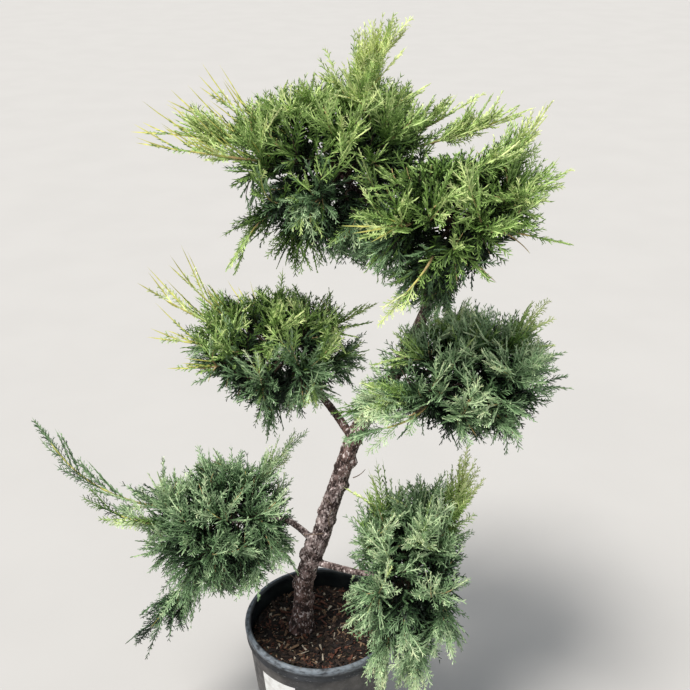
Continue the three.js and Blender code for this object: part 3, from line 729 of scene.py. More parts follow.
# What the balls' tables hold:
# - shoots and finer: how many shoots of these two kinds grow
# - tone: how light the needles are, shade: how much lighter on top than underneath, as painted light
#   and shade, lime: how much lighter or darker where they stand out of the ball
# - whips: how bare and golden the ends of the long sprays are, cool_below: the level under which
#   needles are of the bluer row
# - middle and reach: the ball's place and its half size each way
# - clipped: sides that the shears have cut flatter, each with its direction, how near to that the cut
#   begins, and the share of the ball's reach that is left there
# - leaders: the tips of long shoots, the point that each arches by, and how much paler it is
# - plumes: the tips of the tufts that stand out between them
BALLS = (
    {
        "name": "top", "seed": 11, "shoots": 31, "finer": 250,
        "tone": 0.53, "shade": 0.24, "lime": -0.9, "whips": 0.34, "cool_below": -0.1,
        "middle": BALL_MIDDLES["bough_top"],
        "reach": (190, 168, 150),
        "clipped": (
            ((-0.6, -0.3, -0.75), 0.8, 0.76), ((-0.45, 0.4, 0.8), 0.85, 0.9),
            ((0, -0.4, -0.9), 0.85, 0.92), ((-1, 0, -0.1), 0.88, 0.88), ((1, -0.1, 0.25), 0.9, 0.84),
        ),
        "leaders": (
            ((152, 80, 1334), (38, 80, 1240), 0), ((142, 60, 1294), (50, 60, 1212), 0),
            ((-284, 62, 1166), (-130, 60, 1166), 0), ((-262, 10, 1164), (-120, -64, 1160), 0.04),
            ((-232, 110, 1208), None, 0), ((-186, 150, 1222), None, 0), ((336, 60, 1208), None, 0),
            ((268, 112, 1222), None, 0), ((-112, 10, 948), (-128, 20, 1050), 0),
            ((-62, 30, 972), None, 0), ((20, 290, 1190), None, 0), ((-120, 250, 1130), None, 0),
            ((170, 230, 1150), None, 0),
        ),
        "plumes": (
            (122, 80, 1330), (138, 80, 1330), (104, 78, 1310), (84, 76, 1286), (64, 74, 1264),
            (174, 70, 1230), (211, 60, 1218), (249, 60, 1204), (286, 50, 1198), (310, 55, 1204),
            (-115, 90, 1210), (-232, 60, 1182), (-212, 80, 1202), (-196, 20, 1152), (-176, 10, 1140),
            (-214, 40, 1160), (-120, 40, 1020), (-124, 40, 985), (57, 30, 964), (99, 20, 954),
            (132, 10, 975), (-23, 110, 1234), (64, 20, 958), (-67, 30, 968), (-24, 20, 950),
            (11, 10, 965),
        ),
    },
    {
        "name": "upper_right", "seed": 23, "shoots": 24, "finer": 190,
        "tone": 0.545, "shade": 0.19, "lime": 0.9, "whips": 0.26, "cool_below": -0.2,
        "middle": BALL_MIDDLES["bough_upper_right"],
        "reach": (140, 122, 128),
        "clipped": (
            ((0.75, 0, -0.7), 0.7, 0.5), ((0.55, -0.5, -0.67), 0.82, 0.72),
            ((-0.25, 0.2, 1), 0.72, 0.66), ((1, 0, 0.15), 0.88, 0.88),
        ),
        "leaders": (
            ((372, -70, 1152), None, 0), ((380, -88, 1040), (316, -88, 1052), 0),
            ((334, -60, 1246), None, 0), ((40, -160, 1098), (120, -195, 1096), 0.2),
            ((254, -100, 1196), None, 0), ((250, -236, 1110), None, 0),
            ((92, -190, 960), (170, -255, 1085), 0.1),
        ),
        "plumes": (
            (308, -80, 1204), (286, -100, 1182), (327, -80, 1155), (348, -90, 1134), (316, -60, 1230),
            (62, -160, 1112), (84, -160, 1110), (172, -100, 1160), (218, -95, 1176), (120, -120, 962),
            (141, -120, 957), (187, -100, 938), (320, -90, 1100),
        ),
    },
    {
        "name": "mid_right", "seed": 37, "shoots": 24, "finer": 190,
        "tone": 0.555, "shade": 0.19, "lime": -2.2, "whips": 0.14, "cool_below": 1.0,
        "middle": BALL_MIDDLES["bough_mid_right"],
        "reach": (148, 134, 104),
        "clipped": (
            ((0.1, -0.4, -0.9), 0.72, 0.74), ((-0.5, -0.45, -0.75), 0.8, 0.7),
            ((-0.75, -0.2, 0.6), 0.85, 0.82), ((1, -0.2, -0.3), 0.85, 0.8),
        ),
        "leaders": (
            ((356, -60, 946), None, 0), ((408, -70, 792), None, 0), ((398, -40, 846), None, 0),
            ((56, -116, 740), (150, -225, 810), 0), ((80, -120, 780), (150, -215, 800), 0),
            ((300, -220, 790), None, 0), ((214, 90, 850), None, 0),
        ),
        "plumes": (
            (190, -70, 922), (216, -60, 927), (243, -60, 921), (275, -70, 912), (353, -60, 910),
            (51, -120, 754), (57, -120, 790), (70, -110, 826), (90, -110, 820), (50, -120, 802),
            (36, -125, 782), (30, -120, 764), (44, -118, 742), (88, -106, 842), (82, -110, 806),
            (227, -90, 710), (264, -80, 700), (316, -70, 713), (347, -60, 894), (374, -60, 864),
        ),
    },
    {
        "name": "mid_left", "seed": 41, "shoots": 24, "finer": 190,
        "tone": 0.51, "shade": 0.17, "lime": 0.3, "whips": 0.31, "cool_below": 0.15,
        "middle": BALL_MIDDLES["bough_mid_left"],
        "reach": (154, 138, 116),
        "clipped": (
            ((-0.55, -0.35, -0.8), 0.75, 0.78), ((0, 0.4, 0.9), 0.8, 0.87),
            ((0.35, -0.4, -0.85), 0.85, 0.86),
        ),
        "leaders": (
            ((-298, 70, 918), None, 0), ((-250, 110, 934), None, 0), ((-290, 60, 822), None, 0),
            ((-246, 44, 776), (-170, -30, 795), 0), ((104, 80, 880), None, 0),
            ((-60, 120, 926), None, 0), ((-150, 220, 850), None, 0), ((-92, 60, 612), None, 0),
        ),
        "plumes": (
            (21, 60, 885), (1, 80, 865), (46, 40, 806), (-90, 60, 642), (-70, 50, 634), (-229, 70, 884),
            (-161, 90, 890),
        ),
    },
    {
        "name": "low_left", "seed": 53, "shoots": 24, "finer": 190,
        "tone": 0.51, "shade": 0.12, "lime": -1.3, "whips": 0.12, "cool_below": 9,
        "middle": BALL_MIDDLES["bough_low_left"],
        "reach": (138, 128, 124),
        "clipped": (
            ((0.3, 0.2, 1), 0.8, 0.86), ((-0.23, 0.3, 0.9), 0.9, 0.88), ((1, 0, 0.1), 0.85, 0.86),
            ((0.2, -0.4, -0.9), 0.8, 0.88),
        ),
        "leaders": (
            ((-470, -20, 716), (-420, -25, 528), 0), ((-410, -30, 566), (-300, -70, 500), -0.04),
            ((-262, -50, 275), None, 0), ((-346, -40, 232), (-268, -60, 335), 0),
            ((-16, 30, 655), (-110, 10, 575), 0), ((-146, 124, 560), None, 0),
            ((-218, 60, 612), None, 0), ((-180, -176, 500), None, 0),
        ),
        "plumes": (
            (-362, -30, 540), (-326, -40, 520), (-318, -40, 436), (-255, -10, 616), (-156, 0, 617),
            (-98, 0, 597), (-52, 0, 617), (-58, -60, 478), (-89, -60, 432), (-298, -40, 456),
            (-299, -40, 402), (-320, -40, 268), (-240, -50, 268), (-262, -50, 290),
        ),
    },
    {
        "name": "low_right", "seed": 67, "shoots": 26, "finer": 190,
        "tone": 0.63, "shade": 0.1, "lime": 0.0, "whips": 0.1, "cool_below": 0.9,
        "middle": BALL_MIDDLES["bough_low_right"],
        "reach": (114, 120, 196),
        "clipped": (
            ((-0.2, 0.2, 1), 0.82, 0.82), ((0.95, -0.2, -0.35), 0.82, 0.76), ((1, 0, 0.4), 0.84, 0.78),
            ((-0.9, -0.2, 0.1), 0.88, 0.88), ((0.4, -0.4, -0.9), 0.88, 0.88),
        ),
        "leaders": (
            ((243, -66, 690), (245, -80, 545), 0.16), ((228, -70, 616), (244, -80, 505), 0),
            ((44, -84, 560), (110, -90, 640), 0), ((90, -80, 640), None, 0),
            ((142, -160, 190), (190, -210, 330), 0), ((250, -90, 480), None, 0),
            ((100, -160, 262), None, 0), ((44, -116, 336), None, 0), ((136, 46, 500), None, 0),
        ),
        "plumes": (
            (71, -90, 565), (81, -80, 591), (243, -80, 546), (242, -80, 618), (222, -140, 332),
            (241, -130, 286), (166, -150, 245), (132, -150, 230), (100, -160, 222), (234, -120, 408),
            (246, -68, 674), (244, -72, 640), (240, -76, 606),
        ),
    },
)
# Needle colours from the shaded heart to the sunlit tips, yellower above and bluer below. The last of
# each row is the gold of bare whips.
NEEDLE_TONES = {
    "warm": (
        (22, 39, 15), (54, 78, 34), (87, 116, 52), (118, 147, 76), (148, 176, 100), (180, 202, 128),
        (202, 216, 144), (218, 226, 160), (190, 186, 100),
    ),
    "cool": (
        (24, 40, 24), (56, 81, 52), (90, 119, 79), (120, 148, 106), (150, 176, 132), (181, 202, 156),
        (202, 217, 172), (220, 228, 180), (164, 164, 104),
    ),
}
TWIG_TONES = {"twig_brown": (66, 54, 42), "twig_orange": (178, 154, 106), "twig_green": (192, 184, 106)}
UP = np.array((0.0, 0.0, 1.0))
SPOT_BLOCK = 20000
GOLD = 1.05
LIGHTEST_NEEDLE = 0.99
LIGHTEST_SPRAY = 0.86
# Shoots, in the order in which they grow: long leaders, the rule's own shoots, and from these the tufts
# of plumes, the finer shoots that fill the ball and those of its heart
SHOOT_RADIUS = {"leader": 1.9, "shoot": 1.6, "plume": 0.9, "finer": 0.9, "heart": 0.9}
SHOOT_SIDES = {"leader": 5, "shoot": 5, "plume": 5, "finer": 3, "heart": 3}
LEADER_TIP_RADIUS = 1.0
TIP_RADIUS = 0.55
ORANGE_FROM = 0.72
GREEN_FROM = 1.0
FORK_AT = {"plume": (4, 6, 8, 10), "finer": (4, 6, 8, 10), "heart": (1, 3, 4, 6)}
SHORTEST_FORK = {"plume": 78, "finer": 38, "heart": 12}
LEAST_POINTS = 4
SHORTEST_SHOOT = 6
PLUME_SHOOTS = 3
PLUME_WIDTH = 9
FINER_JITTER = 0.2
FINER_TURN = 1.7
FINER_LEAST = 0.52
FINER_SPREAD = 0.52
SWEEP = (24, 88)
EDDY = 3
FARTHEST = 1.05
HEART_SHARE = 0.5
HEART_REACH = (0.42, 0.68)
# Inside this share of the ball's reach nothing has to keep clear
DEEP = 0.5
# Sprays on each kind of shoot, in millimetres, shares of the shoot and degrees
SPRAY_GAP = {"leader": 15.0, "plume": 7.5, "shoot": 6.5, "finer": 6.5, "heart": 8.0}
SPRAY_FROM = {"leader": 0.16, "plume": 0.10, "shoot": 0.18, "finer": 0.04, "heart": 0.0}
SPRAY_LEAN = {"leader": (16, 36), "plume": (32, 50)}
SHORT_SPRAY_LEAN = (28, 50)
LOW_SPRAYS = {"leader": 0.25, "plume": 0.40}
LOW_SPRAY_LENGTH = 0.62
LOOSE_SPRAYS = 0.25
SPRAY_LENGTH = 54
LEADER_SPRAY_LENGTH = 78
LENGTH_SPREAD = (0.6, 1.25)
TIP_SPRAY_LENGTH = {"leader": 52, "plume": 42, "shoot": 36, "finer": 30, "heart": 26}
WHIP_SHARE = {"leader": 1.05, "plume": 0.4}
BARE_TIP = 0.12
BARE_GOLD = 0.28
PATCH_SIZE = 45
HEART = 0.12
# Needles along a spray. The longer ones fork at two places, each with its side and its share of length.
NEEDLE_GAP = 5.8
NEEDLE_LONGEST = 18
NEEDLE_RADIUS = 0.92
BLUNT = 0.75
FORK_OVER = 9.5
INSIDE = 0.8
FORKS = ((0.34, 1.0, 0.50), (0.60, -1.0, 0.42))
FORK_WIDTH = 0.86
AXIS_RADII = np.array((1.25, 1.15, 1.0, 0.85, 0.35))


def chance(seed):
    """A repeatable run of random numbers from 0 to 1, the same as the part source's."""
    state = seed
    drawn = []
    for _ in range(12):
        state = state * 16807 % 2147483647
        drawn.append(state / 2147483647)
    return iter(drawn[3:])


def outness(spots, ball):
    """How far out in the ball the spots are: 0 at its middle and 1 at its reach."""
    return np.linalg.norm((spots - np.array(ball["middle"])) / np.array(ball["reach"]), axis=-1)


def is_clipped(spots, ball):
    """Which spots the shears have taken: some sides of the ball are cut back flatter than the rest."""
    from_middle = (spots - np.array(ball["middle"])) / np.array(ball["reach"])
    own = np.linalg.norm(from_middle, axis=-1)
    taken = np.zeros(len(spots), bool)
    for side, least, shorter in ball["clipped"]:
        taken |= (unit(from_middle) @ unit(side) > least) & (own > shorter + CLIP_EASE)
    return taken


def outward_at(level, turn):
    """The direction at a level from -1 to 1, turned about the upright."""
    around = math.sqrt(1 - level * level)
    return np.array((around * math.cos(turn), around * math.sin(turn), level))


def shoot_tip(ball, k):
    """The tip of a ball's shoot number k: a golden spiral spreads the shoots evenly over the ball."""
    draw = chance(ball["seed"] * 1000 + k)
    level = 1 - (2 * k + 1) / ball["shoots"] + SHOOT_JITTER * (next(draw) - 0.5)
    level = min(1, max(-1, level))
    turn = k * GOLDEN_TURN + SHOOT_JITTER * (next(draw) - 0.5)
    share = SHOOT_SHORTEST + SHOOT_SPREAD * next(draw)
    return outward_at(level, turn) * share * np.array(ball["reach"]) + np.array(ball["middle"])


def shoot_curve(ball, tip):
    """Start, control and tip of a shoot that bends up above the ball's middle and down below it."""
    middle = np.array(ball["middle"], float)
    start = middle + (tip - middle) * SHOOT_ROOTED / outness(tip, ball)
    control = (start + tip) / 2 - UP * SHOOT_BEND * (tip - start)[2]
    return start, control, tip


bare_limbs = [limb for limb in limbs if not limb[0].endswith("_inner")]
bead_spots = np.concatenate([line for _, line, _ in bare_limbs]).astype(np.float32)
bead_sizes = np.concatenate([radii for _, _, radii in bare_limbs]).astype(np.float32)
low_limit = np.array(cad_low) / MM - BOX_EASE
high_limit = np.array(cad_high) / MM + BOX_EASE


def is_free(spots, ball):
    """Which spots are clear of limbs and pot, and in their own ball's space."""
    free = np.ones(len(spots), bool)
    for i in range(0, len(spots), SPOT_BLOCK):
        block = spots[i : i + SPOT_BLOCK].astype(np.float32)
        gaps = np.sqrt(((block[:, None] - bead_spots[None]) ** 2).sum(2)) - bead_sizes
        free[i : i + SPOT_BLOCK] = gaps.min(1) > LIMB_GAP
    over_pot = np.hypot(spots[:, 0], spots[:, 1]) < POT_RADIUS + POT_GAP
    free &= (spots[:, 2] > POT_GAP) & ~(over_pot & (spots[:, 2] < POT_TOP + POT_GAP))
    free &= ((spots > low_limit) & (spots < high_limit)).all(1)
    own = outness(spots, ball)
    for other in BALLS:
        if other is not ball:
            away = outness(spots, other)
            free &= (away > STRANGER_REACH) | (own + NEIGHBOUR_GAP < away)
    return free


def across(vectors, axes):
    """The vectors' parts that stand square to the axes, at length one."""
    return unit(vectors - (vectors * axes).sum(-1, keepdims=True) * axes)


def may_stay(spots, ball):
    """Which spots are free, or so deep in the ball that it doesn't matter."""
    return is_free(spots, ball) | (outness(spots, ball) < DEEP)


def unbroken(kept):
    """How many come before the first that isn't kept."""
    return len(kept) if kept.all() else int(kept.argmin())


def main_shoots(ball):
    """The leaders and the rule's own shoots, led out of the bough, as (points, kind, paler)."""
    inner = inner_stems["bough_" + ball["name"]][3:]
    tips = [(np.array(tip, float), arch, paler, "leader") for tip, arch, paler in ball["leaders"]]
    tips += [(shoot_tip(ball, k), None, 0, "shoot") for k in range(ball["shoots"])]
    shoots = []
    for tip, arch, paler, kind in tips:
        start, control, tip = shoot_curve(ball, tip)
        if arch is not None:
            control = np.array(arch, float)
        fork = inner[np.linalg.norm(inner - start, axis=1).argmin()]
        back = start - unit(control - start) * 0.45 * np.linalg.norm(start - fork)
        lead_in = bezier(fork, back, start, np.linspace(0, 1, 6)[:-1])
        outer = bezier(start, control, tip, np.linspace(0, 1, 15))
        kept = may_stay(outer, ball)
        if kind == "shoot":
            kept &= ~is_clipped(outer, ball)
        last = unbroken(kept)
        if last > LEAST_POINTS:
            shoots.append((np.concatenate((lead_in, outer[:last])), kind, paler))
    return shoots


def finer_tips(ball, dice):
    """Where the ball's finer shoots are to end, each with its kind."""
    middle = np.array(ball["middle"], float)
    reach = np.array(ball["reach"])
    tips = []
    for tip in ball["plumes"]:
        for _ in range(PLUME_SHOOTS):
            spread = dice.normal(size=3) * PLUME_WIDTH
            tips.append((tip + spread - 0.08 * dice.random() * (tip - middle), "plume"))
    for k in range(ball["finer"]):
        level = 1 - (2 * k + 1) / ball["finer"] + FINER_JITTER * (dice.random() - 0.5)
        turn = k * GOLDEN_TURN + FINER_TURN + 0.5 * (dice.random() - 0.5)
        share = FINER_LEAST + FINER_SPREAD * dice.random() ** 0.6
        out = outward_at(min(1, max(-1, level)), turn)
        for cut_side, least, shorter in ball["clipped"]:
            if out @ unit(cut_side) > least:
                share = share * shorter
        tips.append((out * share * reach + middle, "finer"))
    heart_shoots = int(HEART_SHARE * ball["finer"])
    for k in range(heart_shoots):
        out = outward_at(1 - (2 * k + 1) / heart_shoots, k * GOLDEN_TURN)
        tips.append((out * dice.uniform(*HEART_REACH) * reach + middle, "heart"))
    return tips


def best_fork(tip, kind, mains):
    """The foot, heading and distance of a finer shoot that leaves a main shoot with the least bend."""
    best = None
    for line in mains:
        for i in FORK_AT[kind]:
            if i < len(line) - 2:
                gap = tip - line[i]
                far = np.linalg.norm(gap)
                heading = unit(line[i + 1] - line[i])
                lean = 1 - (gap / far) @ heading
                cost = far * (1 + 1.2 * lean)
                if far > SHORTEST_FORK[kind] and (best is None or cost < best[0]):
                    best = (cost, line[i], heading, far)
    return best[1:]


def grow_shoots(ball, dice):
    """The ball's shoots as (points, kind, paler), each grown from an earlier limb."""
    shoots = main_shoots(ball)
    mains = [line for line, _, _ in shoots]
    middle = np.array(ball["middle"], float)
    for tip, kind in finer_tips(ball, dice):
        foot, heading, far = best_fork(tip, kind, mains)
        control = foot + heading * 0.42 * far - UP * SHOOT_BEND * 0.6 * (tip - foot)[2]
        if kind == "finer":
            out = unit(tip - middle)
            eddy = noise.noise(Vector(1.6 * out) + Vector((0, 0, ball["seed"])))
            round_about = np.cross(UP, out) * eddy * EDDY
            rising = 1.0 if out[2] > -0.12 + 0.24 * dice.normal() else -1.0
            swept = across(0.25 * dice.normal(size=3) + round_about + 0.9 * UP * rising, out)
            control = foot + 0.6 * (tip - foot) + 10 * out
            tip = tip + swept * dice.uniform(*SWEEP)
            tip = middle + (tip - middle) * min(1, FARTHEST / outness(tip, ball))
        outer = bezier(foot, control, tip, np.linspace(0, 1, 11))
        last = unbroken(may_stay(outer, ball))
        if last > LEAST_POINTS:
            shoots.append((outer[:last], kind, 0))
    trimmed = []
    for line, kind, paler in shoots:
        run = run_along(line)
        length = run[-1] - 1.05 * TIP_SPRAY_LENGTH[kind]
        if length >= SHORTEST_SHOOT:
            trimmed.append((points_at(np.linspace(0, length, len(line)), run, line), kind, paler))
    return trimmed


def place_sprays(ball, shoots, dice):
    """Where every spray of the ball is rooted and how it lies, as arrays."""
    lists = [[] for _ in range(9)]
    middle = np.array(ball["middle"], float)
    reach = np.array(ball["reach"])
    for line, kind, paler in shoots:
        is_leader = kind == "leader"
        is_long = kind in WHIP_SHARE
        run = run_along(line)
        gap = SPRAY_GAP[kind]
        where = np.arange(SPRAY_FROM[kind] * run[-1] + gap * dice.random(), run[-1] - 4, gap)
        where = np.append(where + gap * 0.3 * (dice.random(len(where)) - 0.5), run[-1] - 0.5)
        count = len(where)
        share = where / run[-1]
        spots = points_at(where, run, line)
        tangent = unit(points_at(where + 2, run, line) - points_at(where - 3, run, line))
        outward = unit((spots - middle) / reach)
        level = np.clip((spots[:, 2] - middle[2]) / reach[2], -1, 1)
        out = outness(spots, ball)
        west = np.interp(outward[:, 0], (-0.4, 0.3), (1.0, 0.35))

        # Sprays face out of the ball and upwards, and stand by turns on either side of their shoot
        upward = UP * (0.25 + 0.55 * (0.5 + 0.5 * level))[:, None]
        facing = across(0.7 * outward + upward + 0.35 * dice.normal(size=spots.shape), tangent)
        aside = np.cross(tangent, facing)
        far_side = np.arange(count) % 2 == 1
        short = np.ones(count)
        if is_long:
            roll = np.radians(dice.uniform(30, 100, count))
            low = dice.random(count) < LOW_SPRAYS[kind]
            roll = np.where(low, roll - math.radians(60), roll)
            roll = np.where(far_side, math.pi - roll, roll)
            short = np.where(low, LOW_SPRAY_LENGTH, 1.0)
        else:
            roll = np.radians(8 + 26 * dice.normal(size=count))
            roll = np.where(far_side, math.pi - roll, roll)
            loose = dice.random(count) < LOOSE_SPRAYS
            roll = np.where(loose, 2 * math.pi * dice.random(count), roll)
        lean = np.radians(dice.uniform(*SPRAY_LEAN.get(kind, SHORT_SPRAY_LEAN), count))
        heading = tangent * np.cos(lean)[:, None]
        heading += aside * (np.sin(lean) * np.cos(roll))[:, None]
        heading += facing * (np.sin(lean) * np.sin(roll))[:, None]
        heading[-1] = tangent[-1]

        # They grow shorter towards the tip, where one carries the shoot on
        longest = LEADER_SPRAY_LENGTH * (0.55 + 0.45 * west) if is_leader else SPRAY_LENGTH
        slimming = 0.15 if is_leader else 0.45
        length = longest * (1 - slimming * share**2) * dice.uniform(*LENGTH_SPREAD, count) * short
        length = np.minimum(length, 0.85 * (run[-1] - where) + TIP_SPRAY_LENGTH[kind])
        length[-1] = TIP_SPRAY_LENGTH[kind]
        face = across(facing + 0.22 * dice.normal(size=spots.shape), unit(heading))
        lift = 0.30 * level + 0.02 + (0.05 if is_leader else 0)
        lift += (0.12 if is_leader else 0.08) * dice.normal(size=count)
        pull = 0.26 * tangent + UP * lift[:, None]
        pull[-1] = 0.2 * tangent[-1]

        # Their colour and bareness follow where in the ball they are, with patches of darker growth. Their
        # colour is also painted lighter on top and darker underneath and towards the heart: painted light
        # and shade.
        drift = Vector((ball["seed"], 0, 0))
        patch = np.array([noise.noise(Vector(spot / PATCH_SIZE) + drift) for spot in spots])
        tone = ball["tone"] + ball["shade"] * level + 1.1 * (np.minimum(out, 1.0) - 0.88)
        tone += ball["lime"] * west * np.clip(out - 1, 0, 0.35)
        tone = np.minimum(tone + 0.12 * patch + 0.06 * dice.normal(size=count) + paler, LIGHTEST_SPRAY)
        bare = (WHIP_SHARE[kind] * ball["whips"] if is_long else BARE_TIP) * (0.4 + 1.1 * share)
        bare *= west * np.interp(level, (-0.6, 0.1), (0.15, 1.0))
        bare[-1] = min(bare[-1], 0.45)
        cool = level + 0.5 * patch + 0.15 * dice.normal(size=count) + (0.8 if is_long else 0)
        cool = (cool < ball["cool_below"]) & (paler == 0)
        wild = np.full(count, is_long)
        found = (spots, unit(heading), face, pull, length, bare, tone, cool, wild)
        for kept, values in zip(lists, found):
            kept.append(values[out > HEART])
    return [np.concatenate(values) for values in lists]


def needles(feet, tips, radii):
    """Slim closed wedges with an edge across the foot and one across the tip: points, faces, faces each."""
    headings = unit(tips - feet)
    guide = np.where(np.abs(headings[:, 2:]) < 0.9, UP, np.array((1.0, 0, 0)))
    first = across(guide, headings)
    second = np.cross(headings, first)
    wide = first * radii[:, None]
    deep = second * (BLUNT * radii)[:, None]
    points = np.stack((feet + wide, feet - wide, tips + deep, tips - deep), axis=1)
    corners = np.array(((0, 1, 2), (0, 3, 1), (0, 2, 3), (1, 3, 2)))
    faces = corners[None] + 4 * np.arange(len(feet))[:, None, None]
    return points.reshape(-1, 3), faces.reshape(-1, 3), len(corners)


def tapers(lines, radii, sides=3):
    """Closed tubes that end in a point: their points, triangles, and the step that each triangle is on."""
    count, steps = lines.shape[:2]
    headings = unit(np.gradient(lines, axis=1))
    chord = unit(lines[:, -1] - lines[:, 0])[:, None]
    guide = np.where(np.abs(chord[..., 2:]) < 0.8, UP, np.array((1.0, 0, 0)))
    first = across(np.broadcast_to(guide, headings.shape), headings)
    second = np.cross(headings, first)
    turns = 2 * math.pi * np.arange(sides) / sides
    ring = first[:, :, None] * np.cos(turns)[:, None] + second[:, :, None] * np.sin(turns)[:, None]
    rings = (lines[:, :, None] + ring * radii[:, :, None, None])[:, :-1].reshape(count, -1, 3)
    points = np.concatenate((rings, lines[:, -1:]), axis=1)
    corners = [(0, i + 1, i) for i in range(1, sides - 1)]
    owner = [0] * len(corners)
    for step in range(steps - 2):
        for i in range(sides):
            here, there = step * sides + i, step * sides + (i + 1) % sides
            corners += [(here, there, there + sides), (here, there + sides, here + sides)]
            owner += [step, step]
    last = (steps - 2) * sides
    corners += [(last + i, last + (i + 1) % sides, (steps - 1) * sides) for i in range(sides)]
    owner += [steps - 2] * sides
    corners = np.array(corners)
    faces = corners[None] + points.shape[1] * np.arange(count)[:, None, None]
    return points.reshape(-1, 3), faces.reshape(-1, 3), np.array(owner)


def dealt(tones, cool):
    """The material number of each tone, in the warm row or in the cool row."""
    row = len(NEEDLE_TONES["warm"])
    return np.clip((tones * 8).astype(int), 0, row - 1) + row * cool


def needle_sprays(ball, sprays, dice):
    """Every spray's axis and its forked needles, as points, triangles and material numbers."""
    feet, headings, faces, pulls, lengths, whips, tones, cool, wild = sprays
    controls = feet + headings * (0.5 * lengths)[:, None]
    tips = feet + (0.84 * headings + pulls) * lengths[:, None]
    kept = is_free(tips, ball) & is_free(controls, ball) | (outness(tips, ball) < DEEP)
    kept &= wild | ~is_clipped(tips, ball)
    feet, controls, tips, faces = (part[kept] for part in (feet, controls, tips, faces))
    lengths, whips, tones, cool = (part[kept] for part in (lengths, whips, tones, cool))

    # Needles stand in pairs along each spray, wider apart near the ball's heart
    most = int(LEADER_SPRAY_LENGTH * LENGTH_SPREAD[1] / NEEDLE_GAP) + 1
    gaps = NEEDLE_GAP * np.interp(outness(feet, ball), (0.4, 0.8), (1.7, 1.0))
    wanted = np.maximum(3, (lengths * (0.92 - whips) / gaps).astype(int))[:, None, None]
    index = np.arange(most)[None, :, None] + np.zeros((len(feet), 1, 2))
    real = index < wanted
    jitter = dice.uniform(-0.3, 0.3, index.shape)
    share = 0.05 + (0.95 - whips)[:, None, None] * (index + 0.5 + jitter) / wanted
    share = np.clip(share, 0, 1)
    owner = np.broadcast_to(np.arange(len(feet))[:, None, None], share.shape)[real]
    side = np.broadcast_to(np.array((1.0, -1.0)), share.shape)[real]
    share = share[real]
    foot, control, tip = feet[owner], controls[owner], tips[owner]
    spot = bezier(foot, control, tip, share)
    part = share[:, None]
    tangent = unit(2 * (1 - part) * (control - foot) + 2 * part * (tip - control))
    normal = across(faces[owner], tangent)
    aside = np.cross(tangent, normal) * side[:, None]
    body = (1 - share) ** 0.45 * (0.62 + 0.38 * np.minimum(1, share / 0.22))
    longest = np.minimum(NEEDLE_LONGEST, 0.32 * lengths[owner])
    reach = longest * body * dice.uniform(0.72, 1.18, len(share)) + 2.2
    reach *= 1 - 0.8 * whips[owner]
    angle = np.radians(42 - 14 * share + dice.uniform(-5, 5, len(share)))
    tilt = dice.normal(size=len(share)) * 0.12
    sideways = aside * np.cos(tilt)[:, None] + normal * np.sin(tilt)[:, None]
    heading = tangent * np.cos(angle)[:, None] + np.sin(angle)[:, None] * sideways
    tone = tones[owner] + 0.16 * (share - 0.4) + 0.11 * dice.normal(size=len(share))
    deep = outness(spot, ball)

    # The longer ones on the outside of the ball fork twice
    forked = np.nonzero((reach > FORK_OVER) & (deep > INSIDE))[0]
    starts, ends, shades = [spot], [spot + heading * reach[:, None]], [tone]
    for at, turn_side, scale in FORKS:
        base = spot[forked] + heading[forked] * (reach[forked] * at)[:, None]
        swing = np.cross(normal[forked], heading[forked]) * (turn_side * side[forked])[:, None]
        bend = np.radians(dice.uniform(30, 44, len(forked)))[:, None]
        out = heading[forked] * np.cos(bend) + unit(swing) * np.sin(bend)
        size = reach[forked] * scale * dice.uniform(0.75, 1.15, len(forked))
        starts.append(base)
        ends.append(base + out * size[:, None])
        shades.append(tone[forked] + 0.04)
    starts, ends = np.concatenate(starts), np.concatenate(ends)
    shades = np.minimum(np.concatenate(shades), LIGHTEST_NEEDLE)
    is_cool = cool[owner]
    is_cool = np.concatenate((is_cool, is_cool[forked], is_cool[forked]))
    fuller = np.interp(deep, (0.4, 0.85), (3.0, 1.0))
    sizes = np.concatenate((fuller, np.full(2 * len(forked), FORK_WIDTH))) * NEEDLE_RADIUS
    free = may_stay(ends, ball)
    points, triangles, each = needles(starts[free], ends[free], sizes[free])

    # Each spray has a thin axis, which is bare and golden where it ends in a whip
    steps = np.linspace(0, 1, len(AXIS_RADII))[None]
    lines = bezier(feet[:, None], controls[:, None], tips[:, None], steps)
    radii = AXIS_RADII[None] * (1 + 0.4 * whips[:, None])
    axis_points, axis_triangles, part_of = tapers(lines, radii)
    axis_tones = tones[:, None] + 0.06 + 0.16 * (part_of / 3)[None] ** 2
    is_whip = (whips > BARE_GOLD)[:, None] & (part_of > 0)[None]
    axis_tones = np.where(is_whip, GOLD, np.minimum(axis_tones, LIGHTEST_NEEDLE))
    needle_shades = np.repeat(dealt(shades[free], is_cool[free]), each)
    return (
        np.concatenate((points, axis_points)),
        np.concatenate((triangles, axis_triangles + len(points))),
        np.concatenate((needle_shades, dealt(axis_tones, cool[:, None]).ravel())),
    )


def plain_green(name, colour, roughness):
    """A plain colour with a faint mottle, because the colours are dealt out by spray."""
    finish = Finish(name, roughness, 0.3)
    darker = srgb(*(0.88 * value for value in colour))
    lighter = srgb(*(min(255, 1.08 * value) for value in colour))
    finish.colour(finish.mix(finish.cloud(70, 0.35, 0.65, 2), darker, lighter))
    return finish.material


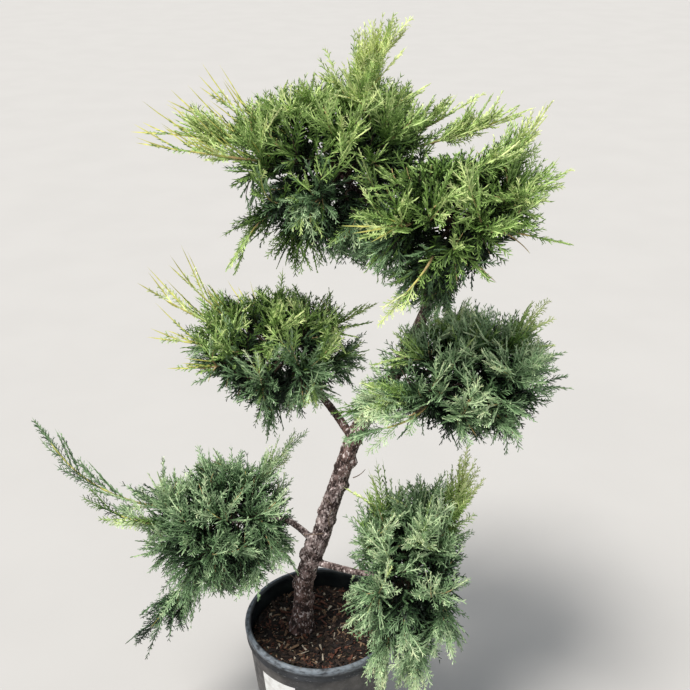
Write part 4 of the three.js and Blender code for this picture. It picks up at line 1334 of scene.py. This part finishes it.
needle_materials = [
    plain_green(f"needles_{light}_{i}", colour, 0.55)
    for light, tones in NEEDLE_TONES.items()
    for i, colour in enumerate(tones)
]
twig_materials = [plain_green(name, colour, 0.75) for name, colour in TWIG_TONES.items()]
for ball in BALLS:
    dice = np.random.default_rng(ball["seed"])
    shoots = grow_shoots(ball, dice)
    sprays = place_sprays(ball, shoots, dice)
    is_high = sprays[0][:, 2] > ball["middle"][2]
    halves = {"": np.full(len(is_high), True)}
    # The top ball's needles are made as two pieces, above and below its middle
    if ball["name"] == "top":
        # The top ball has too many needles for one piece
        halves = {"_high": is_high, "_low": ~is_high}
    for half, chosen in halves.items():
        points, triangles, shades = needle_sprays(ball, [part[chosen] for part in sprays], dice)
        name = "needles_" + ball["name"] + half
        leaves = show(name, joined(name, points, triangles, shades, needle_materials))
        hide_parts("foliage_" + ball["name"])

    points, triangles, shades = [], [], []
    started = 0
    for line, kind, _ in shoots:
        share = np.linspace(0, 1, len(line))
        tip_radius = LEADER_TIP_RADIUS if kind == "leader" else TIP_RADIUS
        radii = SHOOT_RADIUS[kind] * (1 - share) ** 0.8 + tip_radius
        found, corners, step = tapers(line[None], radii[None], SHOOT_SIDES[kind])
        middle = (line[step] + line[np.minimum(step + 1, len(line) - 1)]) / 2
        out = outness(middle, ball) + 0.12 * dice.normal()
        points.append(found)
        triangles.append(corners + started)
        shades.append((out > ORANGE_FROM).astype(int) + (out > GREEN_FROM).astype(int))
        started += len(found)
    name = "twigs_" + ball["name"]
    points, triangles, shades = (np.concatenate(part) for part in (points, triangles, shades))
    twigs = show(name, joined(name, points, triangles, shades, twig_materials, smooth=True))


# The plant stands on a plain pale floor in plain soft light, and the camera looks down on it from in
# front, from about 1.5 m up.
CAMERA_AT = (0.0461, -1.3871, 1.5153)
LOOKS_DOWN = 26.13
SENSOR = 36
FOCAL_PIXELS = 950
PICTURE_PIXELS = 690
FLOOR_HALF = 14
floor_form = bmesh.new()
bmesh.ops.create_grid(floor_form, x_segments=1, y_segments=1, size=FLOOR_HALF)
floor_mesh = finished("floor", floor_form)
floor = placed("floor", floor_mesh)
ground = Finish("pale_floor", 0.9, 0.2)
ground.colour(ground.mix(ground.cloud(3, 0.3, 0.7, 3), srgb(175, 172, 169), srgb(177, 174, 171)))
floor_mesh.materials.append(ground.material)

world = bpy.data.worlds.new("soft_sky")
world.use_nodes = True
sky = world.node_tree.nodes["Background"].inputs
sky["Color"].default_value = (0.88, 0.94, 1.0, 1)
sky["Strength"].default_value = 0.65
bpy.context.scene.world = world
lamp = bpy.data.lights.new("high_soft_light", "SUN")
lamp.energy = 4.4
lamp.angle = math.radians(20)
lamp.color = (1.0, 0.98, 0.94)
shining = placed("high_soft_light", lamp)
shining.rotation_euler = Vector((0.35, 0.32, -1.0)).to_track_quat("-Z", "Y").to_euler()

lens = bpy.data.cameras.new("camera")
lens.lens = FOCAL_PIXELS / PICTURE_PIXELS * SENSOR
lens.sensor_width = SENSOR
lens.clip_start = 0.02
lens.clip_end = 60
camera = placed("camera", lens)
camera.location = CAMERA_AT
camera.rotation_euler = (math.radians(90 - LOOKS_DOWN), 0, 0)
bpy.context.scene.camera = camera
bpy.context.scene.view_settings.view_transform = "Standard"
